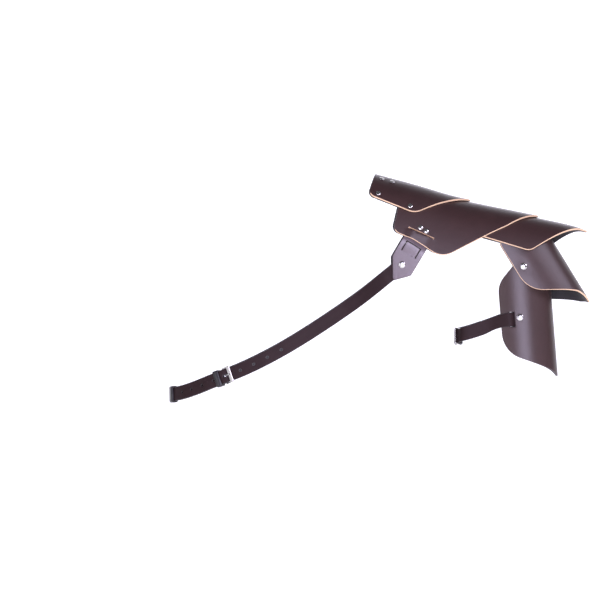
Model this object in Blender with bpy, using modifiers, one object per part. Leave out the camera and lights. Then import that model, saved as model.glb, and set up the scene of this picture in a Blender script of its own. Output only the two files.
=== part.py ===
"""Leather pauldron for the left shoulder, with its chest strap and its arm strap.

Metres, +Z up, +X out along the shoulder, -Y to the front of the wearer. The origin is the seat on the shoulder.
Each leather piece is drawn as a flat pattern, pierced, cut into narrow cells and bent over its form. The back is like
the front, but for two plates that are longer there.
"""

import math

import bmesh
import bpy
from mathutils import Matrix, Vector

for old in list(bpy.data.objects):
    bpy.data.objects.remove(old, do_unlink=True)

# Leather and the play between pieces
PLATE_THICK = 0.0025
STRAP_THICK = 0.0016
STRAP_WIDTH = 0.017
LAME_STRAP_WIDTH = 0.012
END_SHARE = 0.42
GAP = 0.0004
FIT = 0.0003
CELL_ALONG = 0.024
CELL_ROUND = 0.009

# The ridge over the shoulder, from the neck to the outer point
RIDGE_START = -0.092
RIDGE_LENGTH = 0.263
RIDGE_TOP = 0.0242
RIDGE_FALL = 0.0646
SHOULDER_LEAN = math.radians(13.5)
SHOULDER_REACH = 0.105
SHOULDER_TURN = math.radians(80)

# The whole harness spreads from mid chest by this share for each metre that it stands to the front or back
FLARE = 0.503
FLARE_EASE = 0.010
FLARE_FROM = (-0.180, -0.136)

# Shoulder plates: how far each runs along the ridge, and how far it hangs round to the front
NECK_START = -0.092
NECK_LENGTH = 0.1215
NECK_REACH = 0.0652
MAIN_START = -0.062
MAIN_LENGTH = 0.176
MAIN_REACH = 0.1085
OUTER_START = 0.014
OUTER_LENGTH = 0.160
OUTER_REACH = 0.0768

# The plate over the top of the arm
UPPER_PIVOT = (0.0678, 0.0415)
UPPER_LEAN = math.radians(31.5)
UPPER_REACH = 0.087
UPPER_TURN = math.radians(92)
UPPER_FADE = 0.8
UPPER_START = 0.072
UPPER_LENGTH = 0.132

# The cuff round the arm
LOWER_PIVOT = (0.1259, -0.130)
LOWER_LEAN = math.radians(4.5)
LOWER_REACH = 0.0908
LOWER_TURN = math.radians(125)
LOWER_FADE = 0.25
LOWER_START = -0.058
LOWER_LENGTH = 0.155
SLOT_LENGTH = 0.0185
SLOT_WIDTH = 0.0066
SLOT_CORNER_SHARE = 0.15
SLOT_AT = (0.0185, 0.0762)
ARM_RIVET_AT = (0.0165, 0.0668)
ELBOW_RIVET_AT = (0.1194, 0.0755)

# The hanger below the main plate's slit
SLIT_FROM = (-0.0432, 0.0843)
SLIT_TO = (-0.0122, 0.0887)
SLIT_WIDTH = 0.0010
HANGER_AT = (-0.0263, 0.0812)
HANGER_LEAN = math.radians(17.2)
HANGER_WIDTH = 0.030
HANGER_LENGTH = 0.071
HANGER_HEAD = 0.008
HANGER_NEAR_SHOULDER = 0.046
HANGER_FAR_SHOULDER = 0.055
HANGER_RIVET = 0.0495
HANGER_RISE = -0.40
TONGUE_WIDTH = 0.0174
TONGUE_TOP = 0.0228
TONGUE_LENGTH = 0.0122
TONGUE_CUT = 0.0011
TONGUE_RISE = 0.0009
HEAD_RIVET_PITCH = 0.0076

# Rivets: a cap, a post and a disc behind
SMALL_CAP_R = 0.0031
LARGE_CAP_R = 0.0043
CAP_SHARE = 0.36
POST_R = 0.0014
DISC_SHARE = 0.80
DISC_THICK = 0.0008
RIVET_SIDES = 10
NECK_RIVETS = ((-0.0860, 0.0246), (-0.0730, 0.0253), (-0.0869, 0.0524))
JOIN_RIVET = (-0.0472, 0.0579)
PIN_R = 0.0020

# The hidden strap inside that joins the plates
LAME_STRAP_END = (0.0870, 0.0570)
LAME_PIN_SHARE = 0.64

# The chest strap's loop
TORSO_X = -0.177
TORSO_HALF_WIDTH = 0.170
TORSO_HALF_DEPTH = 0.095
LOOP_DROP = 0.1622
SETTLE_LENGTH = 0.075
SEATED_LENGTH = 0.024
CHEST_PIVOT = 0.1120
CHEST_TAIL = -0.012
END_KEEPER_AT = 0.0235
HOLE_PITCH = 0.0165
HOLE_R = 0.0015
PRONG_HOLE_AT = 0.0024
PRONG_HOLE_LENGTH = 0.0056

# The arm strap's loop
ARM_LOOP_X = 0.0145
ARM_LOOP_FALL = 0.019
ARM_LOOP_FLAT = 0.013
ARM_LOOP_CORNER = 0.012
ARM_STRAP_SLOPE = 0.30
ARM_PIVOT = 0.002
ARM_TAIL = -0.050
ARM_CELL = 0.0035
ARM_EDGE_PLAY = 0.002
ARM_SLOT_LEAD = 0.0055
ARM_BLEND = 0.026
ARM_EASE = 0.010
ARM_LEAVE = 0.024
ARM_LEAVE_STEP = 0.004
ARM_FALL_POWER = 1.3

# Buckles and keepers
WIRE = 0.0016
BUCKLE_TILT = math.radians(27)
BUCKLE_OPENING = 0.0065
BUCKLE_BAR = 0.0052
BUCKLE_SIDE = 0.0016
PRONG_R = 0.0008
PRONG_SLOT_LENGTH = 0.0148
FLAP_LENGTH = 0.018
KEEPER_WIDTH = 0.0065
END_KEEPER_WIDTH = 0.0120
KEEPER_THICK = 0.0012
KEEPER_BACK = 0.0078
KEEPER_SLACK = 0.0022
END_KEEPER_SLACK = 0.0005

# Distances from the pivot bar at which the straps step up, fold and come down again, with the billet's lifts there
STEP_START = 0.030
STEP_END = 0.022
FOLD_RUN = 0.008
FOLD_LEAD = 0.003
FOLD_DIP = 0.0002
BILLET_START = 0.020
BILLET_RISE = ((0.0145, 0.0003), (0.0095, 0.0013), (0.0062, 0.0030))
BILLET_TOP = ((0.0034, -0.0008), (0.0016, 0.0001), (-0.0015, 0.0001))
BILLET_FALL = ((0.0060, 0.0015), (0.0110, 0.0002), (0.0245, 0))
BILLET_TAIL = 0.034

# Shares: the ridge's height along its length
RIDGE_TABLE = (
    (0, 0),
    (0.186, 0.204),
    (0.357, 0.409),
    (0.492, 0.528),
    (0.631, 0.642),
    (0.770, 0.757),
    (0.937, 0.910),
    (1, 1),
)

# Shares: how far the chest strap has climbed from the side to the hanger
CLIMB_TABLE = (
    (0, 0),
    (0.15, 0.042),
    (0.30, 0.142),
    (0.45, 0.268),
    (0.60, 0.435),
    (0.80, 0.703),
    (1, 1),
)

# Flat outlines: along (share of length), round (share of reach), corner radius in metres. A back half has a table of
# its own where it is longer than the front.
NECK_OUTLINE = (
    (-0.018, 0, 0.030),
    (-0.049, 0.872, 0.008),
    (0.428, 1, 0.018),
    (1, 0, 0.010),
)
MAIN_OUTLINE = (
    (0.009, 0.860, 0.009),
    (0.153, 0.895, 0.030),
    (0.364, 1, 0.024),
    (0.750, 0.460, 0.050),
    (1, 0, 0.012),
)
OUTER_OUTLINE = (
    (0, 0.873, 0.008),
    (0.551, 1, 0.012),
    (1, 0, 0.007),
)
OUTER_BACK = (
    (0, 0.873, 0.008),
    (0.660, 0.985, 0.012),
)
UPPER_OUTLINE = (
    (0.160, 0, 0),
    (0.150, 0.690, 0.020),
    (0, 0.989, 0.006),
    (0.570, 0.989, 0.034),
    (0.830, 0.300, 0.030),
    (1, 0, 0.010),
)
UPPER_BACK = (
    (0.150, 0.690, 0.020),
    (0, 0.950, 0.006),
    (0.675, 0.950, 0.034),
    (0.945, 0.300, 0.030),
)
LOWER_OUTLINE = (
    (0, 0.660, 0.012),
    (0.210, 1, 0.028),
    (0.743, 1, 0.034),
    (1, 0, 0.030),
)

# Shares: how far three plates hang down behind, against their reach in front
NECK_BEHIND = 0.965
MAIN_BEHIND = 0.975
LOWER_BEHIND = 0.955

LEATHER = (0.055, 0.030, 0.030, 1)
STRAP_LEATHER = (0.020, 0.014, 0.015, 1)
NICKEL = (0.62, 0.61, 0.60, 1)

parts = bpy.data.collections.new("pauldron")
cutters = bpy.data.collections.new("cutters")
bpy.context.scene.collection.children.link(parts)
bpy.context.scene.collection.children.link(cutters)
cutters.hide_render = True


def smooth(table, x):
    """Reads a table of (x, y) rows as one smooth curve, carried on straight past its ends."""
    k = 0
    while k < len(table) - 2 and x > table[k + 1][0]:
        k += 1

    def slope(i):
        low = table[max(i - 1, 0)]
        high = table[min(i + 1, len(table) - 1)]
        return (high[1] - low[1]) / (high[0] - low[0])

    (x0, y0), (x1, y1) = table[k], table[k + 1]
    if x < table[0][0]:
        return table[0][1] + slope(0) * (x - table[0][0])
    if x > table[-1][0]:
        return table[-1][1] + slope(len(table) - 1) * (x - table[-1][0])
    width = x1 - x0
    w = (x - x0) / width
    blend = w * w * (3 - 2 * w)
    ends = slope(k) * w * (1 - w) ** 2 - slope(k + 1) * w * w * (1 - w)
    return y0 + (y1 - y0) * blend + width * ends


def linear(rows, x):
    """Reads rows of (x, y) with straight lines between them, held level past the ends."""
    if x <= rows[0][0]:
        return rows[0][1]
    for (x0, y0), (x1, y1) in zip(rows, rows[1:]):
        if x <= x1:
            return y0 + (y1 - y0) * (x - x0) / (x1 - x0)
    return rows[-1][1]


def ease(w):
    """A soft step from 0 to 1."""
    w = min(max(w, 0), 1)
    return w * w * (3 - 2 * w)


class Fold:
    """The cross-section of a bent sheet: how far it has gone out to the side and down after a length round."""

    def __init__(self, reach, turn, fade, steps=240):
        self.reach = reach
        self.turn = turn
        self.fade = fade
        self.step = 2 * reach / steps
        self.side = [0.0]
        self.drop = [0.0]
        for k in range(steps):
            angle = self.angle((k + 0.5) * self.step)
            self.side.append(self.side[-1] + self.step * math.cos(angle))
            self.drop.append(self.drop[-1] + self.step * math.sin(angle))

    def angle(self, length):
        """The bend is strongest at the ridge and fades towards the free edge."""
        share = min(length / self.reach, 1)
        return self.turn * ((1 - self.fade) * share + self.fade * math.sin(math.pi / 2 * share))

    def at(self, length, lift):
        sign = -1 if length < 0 else 1
        length = abs(length)
        k = min(int(length / self.step), len(self.side) - 2)
        part = length / self.step - k
        side = self.side[k] + part * (self.side[k + 1] - self.side[k])
        drop = self.drop[k] + part * (self.drop[k + 1] - self.drop[k])
        angle = self.angle(length)
        return sign * (side + lift * math.sin(angle)), drop - lift * math.cos(angle)

    def length_at_drop(self, drop):
        return linear([(fallen, k * self.step) for k, fallen in enumerate(self.drop)], drop)


shoulder_fold = Fold(SHOULDER_REACH, SHOULDER_TURN, 1.0)
upper_fold = Fold(UPPER_REACH, UPPER_TURN, UPPER_FADE)
lower_fold = Fold(LOWER_REACH, LOWER_TURN, LOWER_FADE)


def spread(point):
    """Moves a point out from mid chest by its distance to the front or back."""
    grow = 1 + FLARE * point.y * point.y / (abs(point.y) + FLARE_EASE)
    x, z = FLARE_FROM
    return Vector((x + (point.x - x) * grow, point.y, z + (point.z - z) * grow))


def gathered(point):
    """The reverse of spread."""
    grow = 1 + FLARE * point.y * point.y / (abs(point.y) + FLARE_EASE)
    x, z = FLARE_FROM
    return Vector((x + (point.x - x) / grow, point.y, z + (point.z - z) / grow))


def lifted(sheet, along, round_by, lift):
    """A point straight out from a bent sheet."""
    step = 0.0005
    run = sheet(along + step, round_by) - sheet(along - step, round_by)
    turn = sheet(along, round_by + step) - sheet(along, round_by - step)
    return sheet(along, round_by) + turn.cross(run).normalized() * lift


def ridge(along):
    return RIDGE_TOP - RIDGE_FALL * smooth(RIDGE_TABLE, (along - RIDGE_START) / RIDGE_LENGTH)


def shoulder_sheet(along, round_by):
    side, drop = shoulder_fold.at(round_by, 0)
    x = along - drop * math.sin(SHOULDER_LEAN)
    z = ridge(along) - drop * math.cos(SHOULDER_LEAN)
    return spread(Vector((x, -side, z)))


def shoulder(along, round_by, lift=0.0):
    """A point over the shoulder: along the ridge, round to the front, and lifted off the main plate's middle."""
    return lifted(shoulder_sheet, along, round_by, lift)


def tube(pivot, lean, fold):
    """A bent sheet down the outside of the arm, along a leaning centre line."""
    start = Vector((pivot[0], 0, pivot[1]))
    axis = Vector((math.sin(lean), 0, -math.cos(lean)))
    outward = Vector((math.cos(lean), 0, math.sin(lean)))

    def sheet(along, round_by):
        side, drop = fold.at(round_by, 0)
        return spread(start + axis * along - outward * drop + Vector((0, -side, 0)))

    def at(along, round_by, lift=0.0):
        return lifted(sheet, along, round_by, lift)

    def locate(point):
        """The place on the sheet's front half that lies behind a point, seen from the front."""
        away = gathered(point) - start
        return away.dot(axis), fold.length_at_drop(-away.dot(outward))

    return at, locate


upper_arm, locate_on_upper = tube(UPPER_PIVOT, UPPER_LEAN, upper_fold)
lower_arm, locate_on_lower = tube(LOWER_PIVOT, LOWER_LEAN, lower_fold)


def frame_at(surface, along, round_by, lift=0.0):
    """The point on a surface and its outward normal."""
    step = 0.0005
    point = surface(along, round_by, lift)
    run = surface(along + step, round_by, lift) - surface(along - step, round_by, lift)
    turn = surface(along, round_by + step, lift) - surface(along, round_by - step, lift)
    out = run.cross(turn).normalized()
    if out.dot(surface(along, round_by, lift + step) - point) < 0:
        out = -out
    return point, out


def pierce(point, out, surface, locate):
    """Where a post that runs inward from a point meets a deeper sheet, and how far in that is."""
    depth = 0.0
    for _ in range(6):
        place_on = locate(point - out * depth)
        depth = (point - surface(*place_on)).dot(out)
    return place_on, depth


def place(point, out, along=Vector((1, 0, 0))):
    """A matrix with +Z along out and +X as near to along as it can be."""
    z = out.normalized()
    x = (along - z * along.dot(z)).normalized()
    y = z.cross(x)
    return Matrix(((x.x, y.x, z.x, point.x), (x.y, y.y, z.y, point.y), (x.z, y.z, z.z, point.z), (0, 0, 0, 1)))


def finish(obj, colour, metallic, roughness):
    """Gives a piece its own material and puts it with the other parts."""
    material = bpy.data.materials.new(obj.name)
    material.use_nodes = True
    shader = material.node_tree.nodes["Principled BSDF"]
    shader.inputs["Base Color"].default_value = colour
    shader.inputs["Metallic"].default_value = metallic
    shader.inputs["Roughness"].default_value = roughness
    obj.data.materials.clear()
    obj.data.materials.append(material)
    for holder in list(obj.users_collection):
        holder.objects.unlink(obj)
    parts.objects.link(obj)
    obj.data.shade_smooth()
    obj.data.set_sharp_from_angle(angle=math.radians(40))


def mesh_object(name, bm):
    data = bpy.data.meshes.new(name)
    bm.to_mesh(data)
    bm.free()
    obj = bpy.data.objects.new(name, data)
    cutters.objects.link(obj)
    return obj


def rounded(corners):
    """Turns corners (x, y, radius) into the points of a closed outline with arcs at the corners."""
    points = []
    for k, (x, y, radius) in enumerate(corners):
        here = Vector((x, y))
        back = Vector(corners[k - 1][:2]) - here
        on = Vector(corners[(k + 1) % len(corners)][:2]) - here
        half = back.angle(on) / 2
        if radius <= 0 or abs(half - math.pi / 2) < 0.01:
            points.append(here)
            continue
        trim = min(radius / math.tan(half), 0.45 * back.length, 0.45 * on.length)
        reach = trim * math.tan(half)
        centre = here + (back.normalized() + on.normalized()).normalized() * (reach / math.sin(half))
        first = here + back.normalized() * trim - centre
        turn = first.angle_signed(here + on.normalized() * trim - centre)
        count = max(2, math.ceil(abs(turn) / math.radians(22)))
        for i in range(count + 1):
            spin = Matrix.Rotation(-turn * i / count, 2)
            points.append(centre + spin @ first)
    return points


def whole_outline(front, back, start, length, reach):
    """A whole outline from the shares of its two halves; corners on the ridge are in the front's table."""
    half = [(start + length * along, reach * across, radius) for along, across, radius in front]
    off_ridge = [row for row in reversed(back) if row[1] > 0]
    other = [(start + length * along, -reach * across, radius) for along, across, radius in off_ridge]
    return half + other


def shorter(outline, share):
    """The table of a back half that hangs down a share as far as the front."""
    return [(along, across * share, radius) for along, across, radius in outline]


def prism(name, points, low, high):
    """A flat outline raised from low to high."""
    bm = bmesh.new()
    face = bm.faces.new([bm.verts.new((p[0], p[1], low)) for p in points])
    raised = bmesh.ops.extrude_face_region(bm, geom=[face])
    new = [v for v in raised["geom"] if isinstance(v, bmesh.types.BMVert)]
    bmesh.ops.translate(bm, vec=(0, 0, high - low), verts=new)
    bmesh.ops.recalc_face_normals(bm, faces=bm.faces)
    return mesh_object(name, bm)


def bar_outline(start, end, width, radius_share=0.49):
    """A straight slot between two points, as corners rounded by a share of its width."""
    start = Vector(start)
    end = Vector(end)
    side = (end - start).normalized().orthogonal() * width / 2
    radius = radius_share * width
    return [(*(start + side), radius), (*(start - side), radius), (*(end - side), radius), (*(end + side), radius)]


def circle(at, radius, sides=8):
    turns = [2 * math.pi * (k + 0.5) / sides for k in range(sides)]
    return [(at[0] + radius * math.cos(turn), at[1] + radius * math.sin(turn)) for turn in turns]


def flat_piece(name, outline, thick, cuts_along, cuts_across, openings):
    """Cuts a flat piece of leather from its outline, pierces it, and scores it where it will bend."""
    obj = prism(name, outline, -thick / 2, thick / 2)
    bm = bmesh.new()
    bm.from_mesh(obj.data)
    for axis, places in ((Vector((1, 0, 0)), cuts_along), (Vector((0, 1, 0)), cuts_across)):
        for place_at in places:
            geometry = bm.verts[:] + bm.edges[:] + bm.faces[:]
            bmesh.ops.bisect_plane(bm, geom=geometry, dist=1e-6, plane_co=axis * place_at, plane_no=axis)
    bm.to_mesh(obj.data)
    bm.free()
    for k, hole in enumerate(openings):
        cutter = prism(f"{name}_cutter_{k}", hole, -thick, thick)
        cut = obj.modifiers.new("hole", "BOOLEAN")
        cut.operation = "DIFFERENCE"
        cut.solver = "EXACT"
        cut.object = cutter
    if openings:
        bpy.context.view_layer.update()
        cut_mesh = bpy.data.meshes.new_from_object(obj.evaluated_get(bpy.context.evaluated_depsgraph_get()))
        obj.modifiers.clear()
        obj.data = cut_mesh
        cut_mesh.name = name
        for k in range(len(openings)):
            bpy.data.objects.remove(bpy.data.objects[f"{name}_cutter_{k}"])
    bm = bmesh.new()
    bm.from_mesh(obj.data)
    bmesh.ops.remove_doubles(bm, verts=bm.verts, dist=2e-6)
    bmesh.ops.triangulate(bm, faces=bm.faces[:])
    bm.to_mesh(obj.data)
    bm.free()
    return obj


def bend(obj, surface):
    """Moves each point of a flat piece to its place on a surface."""
    bm = bmesh.new()
    bm.from_mesh(obj.data)
    for vertex in bm.verts:
        vertex.co = surface(vertex.co.x, vertex.co.y, vertex.co.z)
    if bm.calc_volume(signed=True) < 0:
        bmesh.ops.reverse_faces(bm, faces=bm.faces)
    bm.to_mesh(obj.data)
    bm.free()


def steps(low, high, size):
    """Multiples of size strictly between low and high."""
    first = math.floor(low / size) + 1
    return [k * size for k in range(first, math.ceil(high / size))]


def evenly(low, high, size):
    """Places from low to high, both ends among them."""
    count = max(1, round(abs(high - low) / size))
    return [low + (high - low) * k / count for k in range(count + 1)]


def plate(name, surface, layer, front, back, start, length, reach, openings):
    """A leather plate, pierced alike front and back, bent over a surface at a layer from the main plate's."""
    corners = rounded(whole_outline(front, back, start, length, reach))
    low = min(p.x for p in corners)
    high = max(p.x for p in corners)
    holes = openings + [[(x, -y) for x, y in hole] for hole in openings]
    obj = flat_piece(
        name, corners, PLATE_THICK, steps(low, high, CELL_ALONG), steps(-reach, reach, CELL_ROUND), holes
    )
    lift = layer * (PLATE_THICK + GAP)
    bend(obj, lambda x, y, z: surface(x, y, z + lift))
    finish(obj, LEATHER, 0, 0.38)
    return obj


def hanger_to_shoulder(across, down):
    """The hanger's own flat axes, leaning with the main plate's corner, as places over the shoulder."""
    lean = HANGER_LEAN
    along = HANGER_AT[0] + across * math.cos(lean) - down * math.sin(lean)
    round_by = HANGER_AT[1] + across * math.sin(lean) + down * math.cos(lean)
    return along, round_by


def hanger_surface(across, down, lift):
    """Behind the main plate at the head, then leaning back on to the chest below the edge."""
    past = max(down - TONGUE_TOP, 0)
    forward = HANGER_RISE * past * past / (past + 0.006)
    slope = HANGER_RISE * past * (past + 0.012) / (past + 0.006) ** 2
    tilt = math.atan(slope)
    if abs(across) < TONGUE_WIDTH / 2 + TONGUE_CUT / 2 and TONGUE_TOP <= down <= TONGUE_TOP + TONGUE_LENGTH:
        forward += TONGUE_RISE * (1 - (down - TONGUE_TOP) / TONGUE_LENGTH)
    back = lift * math.sin(tilt)
    along, round_by = hanger_to_shoulder(across, down - back)
    return shoulder(along, round_by, lift * math.cos(tilt) + forward - PLATE_THICK - GAP)


def front_to_back(surface):
    """The same form at the back of the wearer."""

    def at(x, y, z):
        point = surface(x, y, z)
        return Vector((point.x, -point.y, point.z))

    return at


def rivet(name, point, out, cap_r, grip, post_r=POST_R):
    """A turned rivet: domed cap on top of the leather, post through it, disc behind."""
    height = cap_r * CAP_SHARE
    disc_r = cap_r * DISC_SHARE
    bottom = -grip - 2 * FIT
    profile = (
        (0, height),
        (0.70 * cap_r, 0.68 * height),
        (cap_r, 0),
        (post_r, 0),
        (post_r, bottom),
        (disc_r, bottom),
        (disc_r, bottom - DISC_THICK),
        (0, bottom - DISC_THICK),
    )
    return turned(name, profile, place(point + out * FIT, out), NICKEL, 1, 0.22)


def turned(name, profile, matrix, colour, metallic, roughness):
    """A closed round piece from its half profile, top to bottom."""
    bm = bmesh.new()
    row = [bm.verts.new((x, 0, z)) for x, z in profile]
    for a, b in zip(row, row[1:]):
        bm.edges.new((a, b))
    obj = mesh_object(name, bm)
    screw = obj.modifiers.new("turn", "SCREW")
    screw.steps = RIVET_SIDES
    screw.render_steps = RIVET_SIDES
    screw.use_merge_vertices = True
    screw.merge_threshold = 0.00001
    obj.matrix_world = matrix
    finish(obj, colour, metallic, roughness)
    return obj


def pin(name, point, out, length):
    """A plain hidden post."""
    profile = ((0, 0), (PIN_R, 0), (PIN_R, -length), (0, -length))
    return turned(name, profile, place(point, out), NICKEL, 1, 0.3)


def both(name, maker):
    """Makes a piece at the front and its twin at the back."""
    maker(f"front_{name}", lambda surface: surface)
    maker(f"back_{name}", front_to_back)


def divided(profile, size):
    """The same rows with none further apart than size."""
    rows = [Vector(profile[0])]
    for row in profile[1:]:
        start = rows[-1]
        end = Vector(row)
        count = max(1, math.ceil((end - start).length / size))
        rows += [start.lerp(end, k / count) for k in range(1, count + 1)]
    return rows


def strip(name, profile, width, loop, openings):
    """A flat strap that follows a profile of (along, lift) rows on a loop, with rounded ends."""
    rows = [Vector(row) for row in profile]
    marks = [0.0]
    for a, b in zip(rows, rows[1:]):
        marks.append(marks[-1] + (b - a).length)
    length = marks[-1]
    corner = END_SHARE * width
    half = width / 2
    corners = [(0, -half, corner), (length, -half, corner), (length, half, corner), (0, half, corner)]
    obj = flat_piece(name, rounded(corners), STRAP_THICK, marks[1:-1], (), openings)

    def at(x, y, z):
        x = min(max(x, 0), length)
        k = max(i for i in range(len(marks) - 1) if marks[i] <= x + 1e-7)
        direction = (rows[k + 1] - rows[k]).normalized()
        spot = rows[k] + direction * (x - marks[k])
        normal = Vector((-direction.y, direction.x))
        at_mark = abs(x - marks[k]) < 1e-6 and k > 0
        if at_mark:
            before = (rows[k] - rows[k - 1]).normalized()
            other = Vector((-before.y, before.x))
            middle = (normal + other).normalized()
            normal = middle / max(middle.dot(normal), 0.5)
        spot = spot + normal * z
        return loop(spot.x, y, spot.y)

    bend(obj, at)
    finish(obj, STRAP_LEATHER, 0, 0.45)
    return obj


def along_strip(profile, along):
    """How far along a profile a place on the loop lies, for punching a hole there."""
    rows = [Vector(row) for row in profile]
    total = 0.0
    for a, b in zip(rows, rows[1:]):
        if min(a.x, b.x) <= along <= max(a.x, b.x):
            return total + (b - a).length * (along - a.x) / (b.x - a.x)
        total += (b - a).length
    return total


# The five plates

joined = [circle(JOIN_RIVET, POST_R + FIT)]
neck_holes = [circle(at, POST_R + FIT) for at in NECK_RIVETS]
plate(
    "neck_plate", shoulder, 1, NECK_OUTLINE, shorter(NECK_OUTLINE, NECK_BEHIND), NECK_START, NECK_LENGTH, NECK_REACH,
    neck_holes + joined,
)

head_rivets = [hanger_to_shoulder(side * HEAD_RIVET_PITCH / 2, 0) for side in (-1, 1)]
head_holes = [circle(at, POST_R + FIT) for at in head_rivets]
slit = rounded(bar_outline(SLIT_FROM, SLIT_TO, SLIT_WIDTH))
plate(
    "main_plate", shoulder, 0, MAIN_OUTLINE, shorter(MAIN_OUTLINE, MAIN_BEHIND), MAIN_START, MAIN_LENGTH,
    MAIN_REACH,
    joined + head_holes + [[(p.x, p.y) for p in slit]],
)

lame_start = Vector(JOIN_RIVET)
lame_line = Vector(LAME_STRAP_END) - lame_start
outer_pin = lame_start + lame_line * LAME_PIN_SHARE
plate(
    "outer_plate", shoulder, -1, OUTER_OUTLINE, OUTER_BACK, OUTER_START, OUTER_LENGTH, OUTER_REACH,
    [circle(outer_pin, PIN_R + 3 * FIT)],
)


def level_below(layer):
    """The middle of a strap that lies just inside the plate at a layer."""
    return layer * (PLATE_THICK + GAP) - PLATE_THICK / 2 - GAP - STRAP_THICK / 2


strap_tip, tip_out = frame_at(shoulder, *LAME_STRAP_END, level_below(-1) + STRAP_THICK / 2)
upper_pin, upper_pin_depth = pierce(strap_tip, tip_out, upper_arm, locate_on_upper)
elbow_point, elbow_out = frame_at(upper_arm, *ELBOW_RIVET_AT, PLATE_THICK / 2)
elbow_on_lower, elbow_depth = pierce(elbow_point, elbow_out, lower_arm, locate_on_lower)
plate(
    "upper_arm_plate", upper_arm, 0, UPPER_OUTLINE, UPPER_BACK, UPPER_START, UPPER_LENGTH, UPPER_REACH,
    [circle(ELBOW_RIVET_AT, POST_R + FIT), circle(upper_pin, PIN_R + 3 * FIT)],
)

slot_start = (SLOT_AT[0] - SLOT_LENGTH / 2, SLOT_AT[1])
slot_end = (SLOT_AT[0] + SLOT_LENGTH / 2, SLOT_AT[1])
slot = rounded(bar_outline(slot_start, slot_end, SLOT_WIDTH, SLOT_CORNER_SHARE))
plate(
    "lower_arm_plate", lower_arm, 0, LOWER_OUTLINE, shorter(LOWER_OUTLINE, LOWER_BEHIND), LOWER_START, LOWER_LENGTH,
    LOWER_REACH,
    [circle(elbow_on_lower, POST_R + 3 * FIT), circle(ARM_RIVET_AT, POST_R + FIT), [(p.x, p.y) for p in slot]],
)


# The hangers, with a tongue cut into each

def make_hanger(name, side):
    half = HANGER_WIDTH / 2
    corners = [
        (-half, -HANGER_HEAD, 0.004),
        (half, -HANGER_HEAD, 0.004),
        (half, HANGER_FAR_SHOULDER, 0.004),
        (0, HANGER_LENGTH, 0.003),
        (-half, HANGER_NEAR_SHOULDER, 0.004),
    ]
    inner = TONGUE_WIDTH / 2
    outer = inner + TONGUE_CUT
    top = TONGUE_TOP - TONGUE_CUT
    foot = TONGUE_TOP + TONGUE_LENGTH
    tongue_cut = [
        (-outer, top), (outer, top), (outer, foot), (inner, foot),
        (inner, TONGUE_TOP), (-inner, TONGUE_TOP), (-inner, foot), (-outer, foot),
    ]
    holes = [circle((s * HEAD_RIVET_PITCH / 2, 0), POST_R + FIT) for s in (-1, 1)]
    holes += [circle((0, HANGER_RIVET), POST_R + FIT), tongue_cut]
    obj = flat_piece(
        name, rounded(corners), PLATE_THICK,
        (), steps(-HANGER_HEAD, HANGER_LENGTH, 0.006), holes,
    )
    bend(obj, side(hanger_surface))
    finish(obj, LEATHER, 0, 0.38)


both("hanger", make_hanger)


# The rivets through the plates

def make_plate_rivets(name, side):
    for k, at in enumerate(NECK_RIVETS, 1):
        point, out = frame_at(side(shoulder), *at, PLATE_THICK + GAP + PLATE_THICK / 2)
        rivet(f"{name}_neck_{k}", point, out, SMALL_CAP_R, PLATE_THICK)
    point, out = frame_at(side(shoulder), *JOIN_RIVET, PLATE_THICK + GAP + PLATE_THICK / 2)
    rivet(f"{name}_neck_4", point, out, SMALL_CAP_R, 2 * PLATE_THICK + 2 * GAP + STRAP_THICK)
    for k, at in enumerate(head_rivets, 1):
        point, out = frame_at(side(shoulder), *at, PLATE_THICK / 2)
        rivet(f"{name}_hanger_head_{k}", point, out, SMALL_CAP_R, 2 * PLATE_THICK + GAP)
    point, out = frame_at(side(upper_arm), *ELBOW_RIVET_AT, PLATE_THICK / 2)
    rivet(f"{name}_elbow", point, out, LARGE_CAP_R, elbow_depth + PLATE_THICK / 2 + GAP)
    point, out = frame_at(side(lower_arm), *ARM_RIVET_AT, PLATE_THICK / 2)
    rivet(f"{name}_arm_strap", point, out, LARGE_CAP_R, PLATE_THICK + GAP + STRAP_THICK)
    point, out = frame_at(side(hanger_surface), 0, HANGER_RIVET, PLATE_THICK / 2)
    rivet(f"{name}_hanger_strap", point, out, LARGE_CAP_R, PLATE_THICK + GAP + STRAP_THICK)


both("rivet", make_plate_rivets)


# The hidden straps that join the plates, with their pins

def make_lame_strap(name, side):
    surface = side(shoulder)
    length = lame_line.length
    line = lame_line.normalized()
    across = Vector((-line.y, line.x))
    over = LAME_STRAP_WIDTH / 2
    step_down = (OUTER_START - 0.010 - lame_start.x) / line.x
    main_level = level_below(0)
    outer_level = level_below(-1)
    rows = [(x, main_level) for x in evenly(-over, step_down - 0.006, 0.016)]
    rows += [(x, outer_level) for x in evenly(step_down + 0.002, length + over, 0.016)]

    def at(x, y, z):
        spot = lame_start + line * x + across * y
        return surface(spot.x, spot.y, z)

    holes = [
        circle((along_strip(rows, 0), 0), POST_R + 2 * FIT),
        circle((along_strip(rows, length * LAME_PIN_SHARE), 0), PIN_R + 3 * FIT),
        circle((along_strip(rows, length), 0), PIN_R + 3 * FIT),
    ]
    strip(name, rows, LAME_STRAP_WIDTH, at, holes)
    top = -GAP - PLATE_THICK / 2
    point, out = frame_at(surface, *outer_pin, top)
    pin(f"{name}_pin_1", point, out, PLATE_THICK + GAP + STRAP_THICK)
    point, out = frame_at(surface, *LAME_STRAP_END, outer_level + STRAP_THICK / 2)
    pin(f"{name}_pin_2", point, out, upper_pin_depth + PLATE_THICK / 2)


both("lame_strap", make_lame_strap)


# The chest strap's loop: an oval round the body that climbs to the hangers

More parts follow.
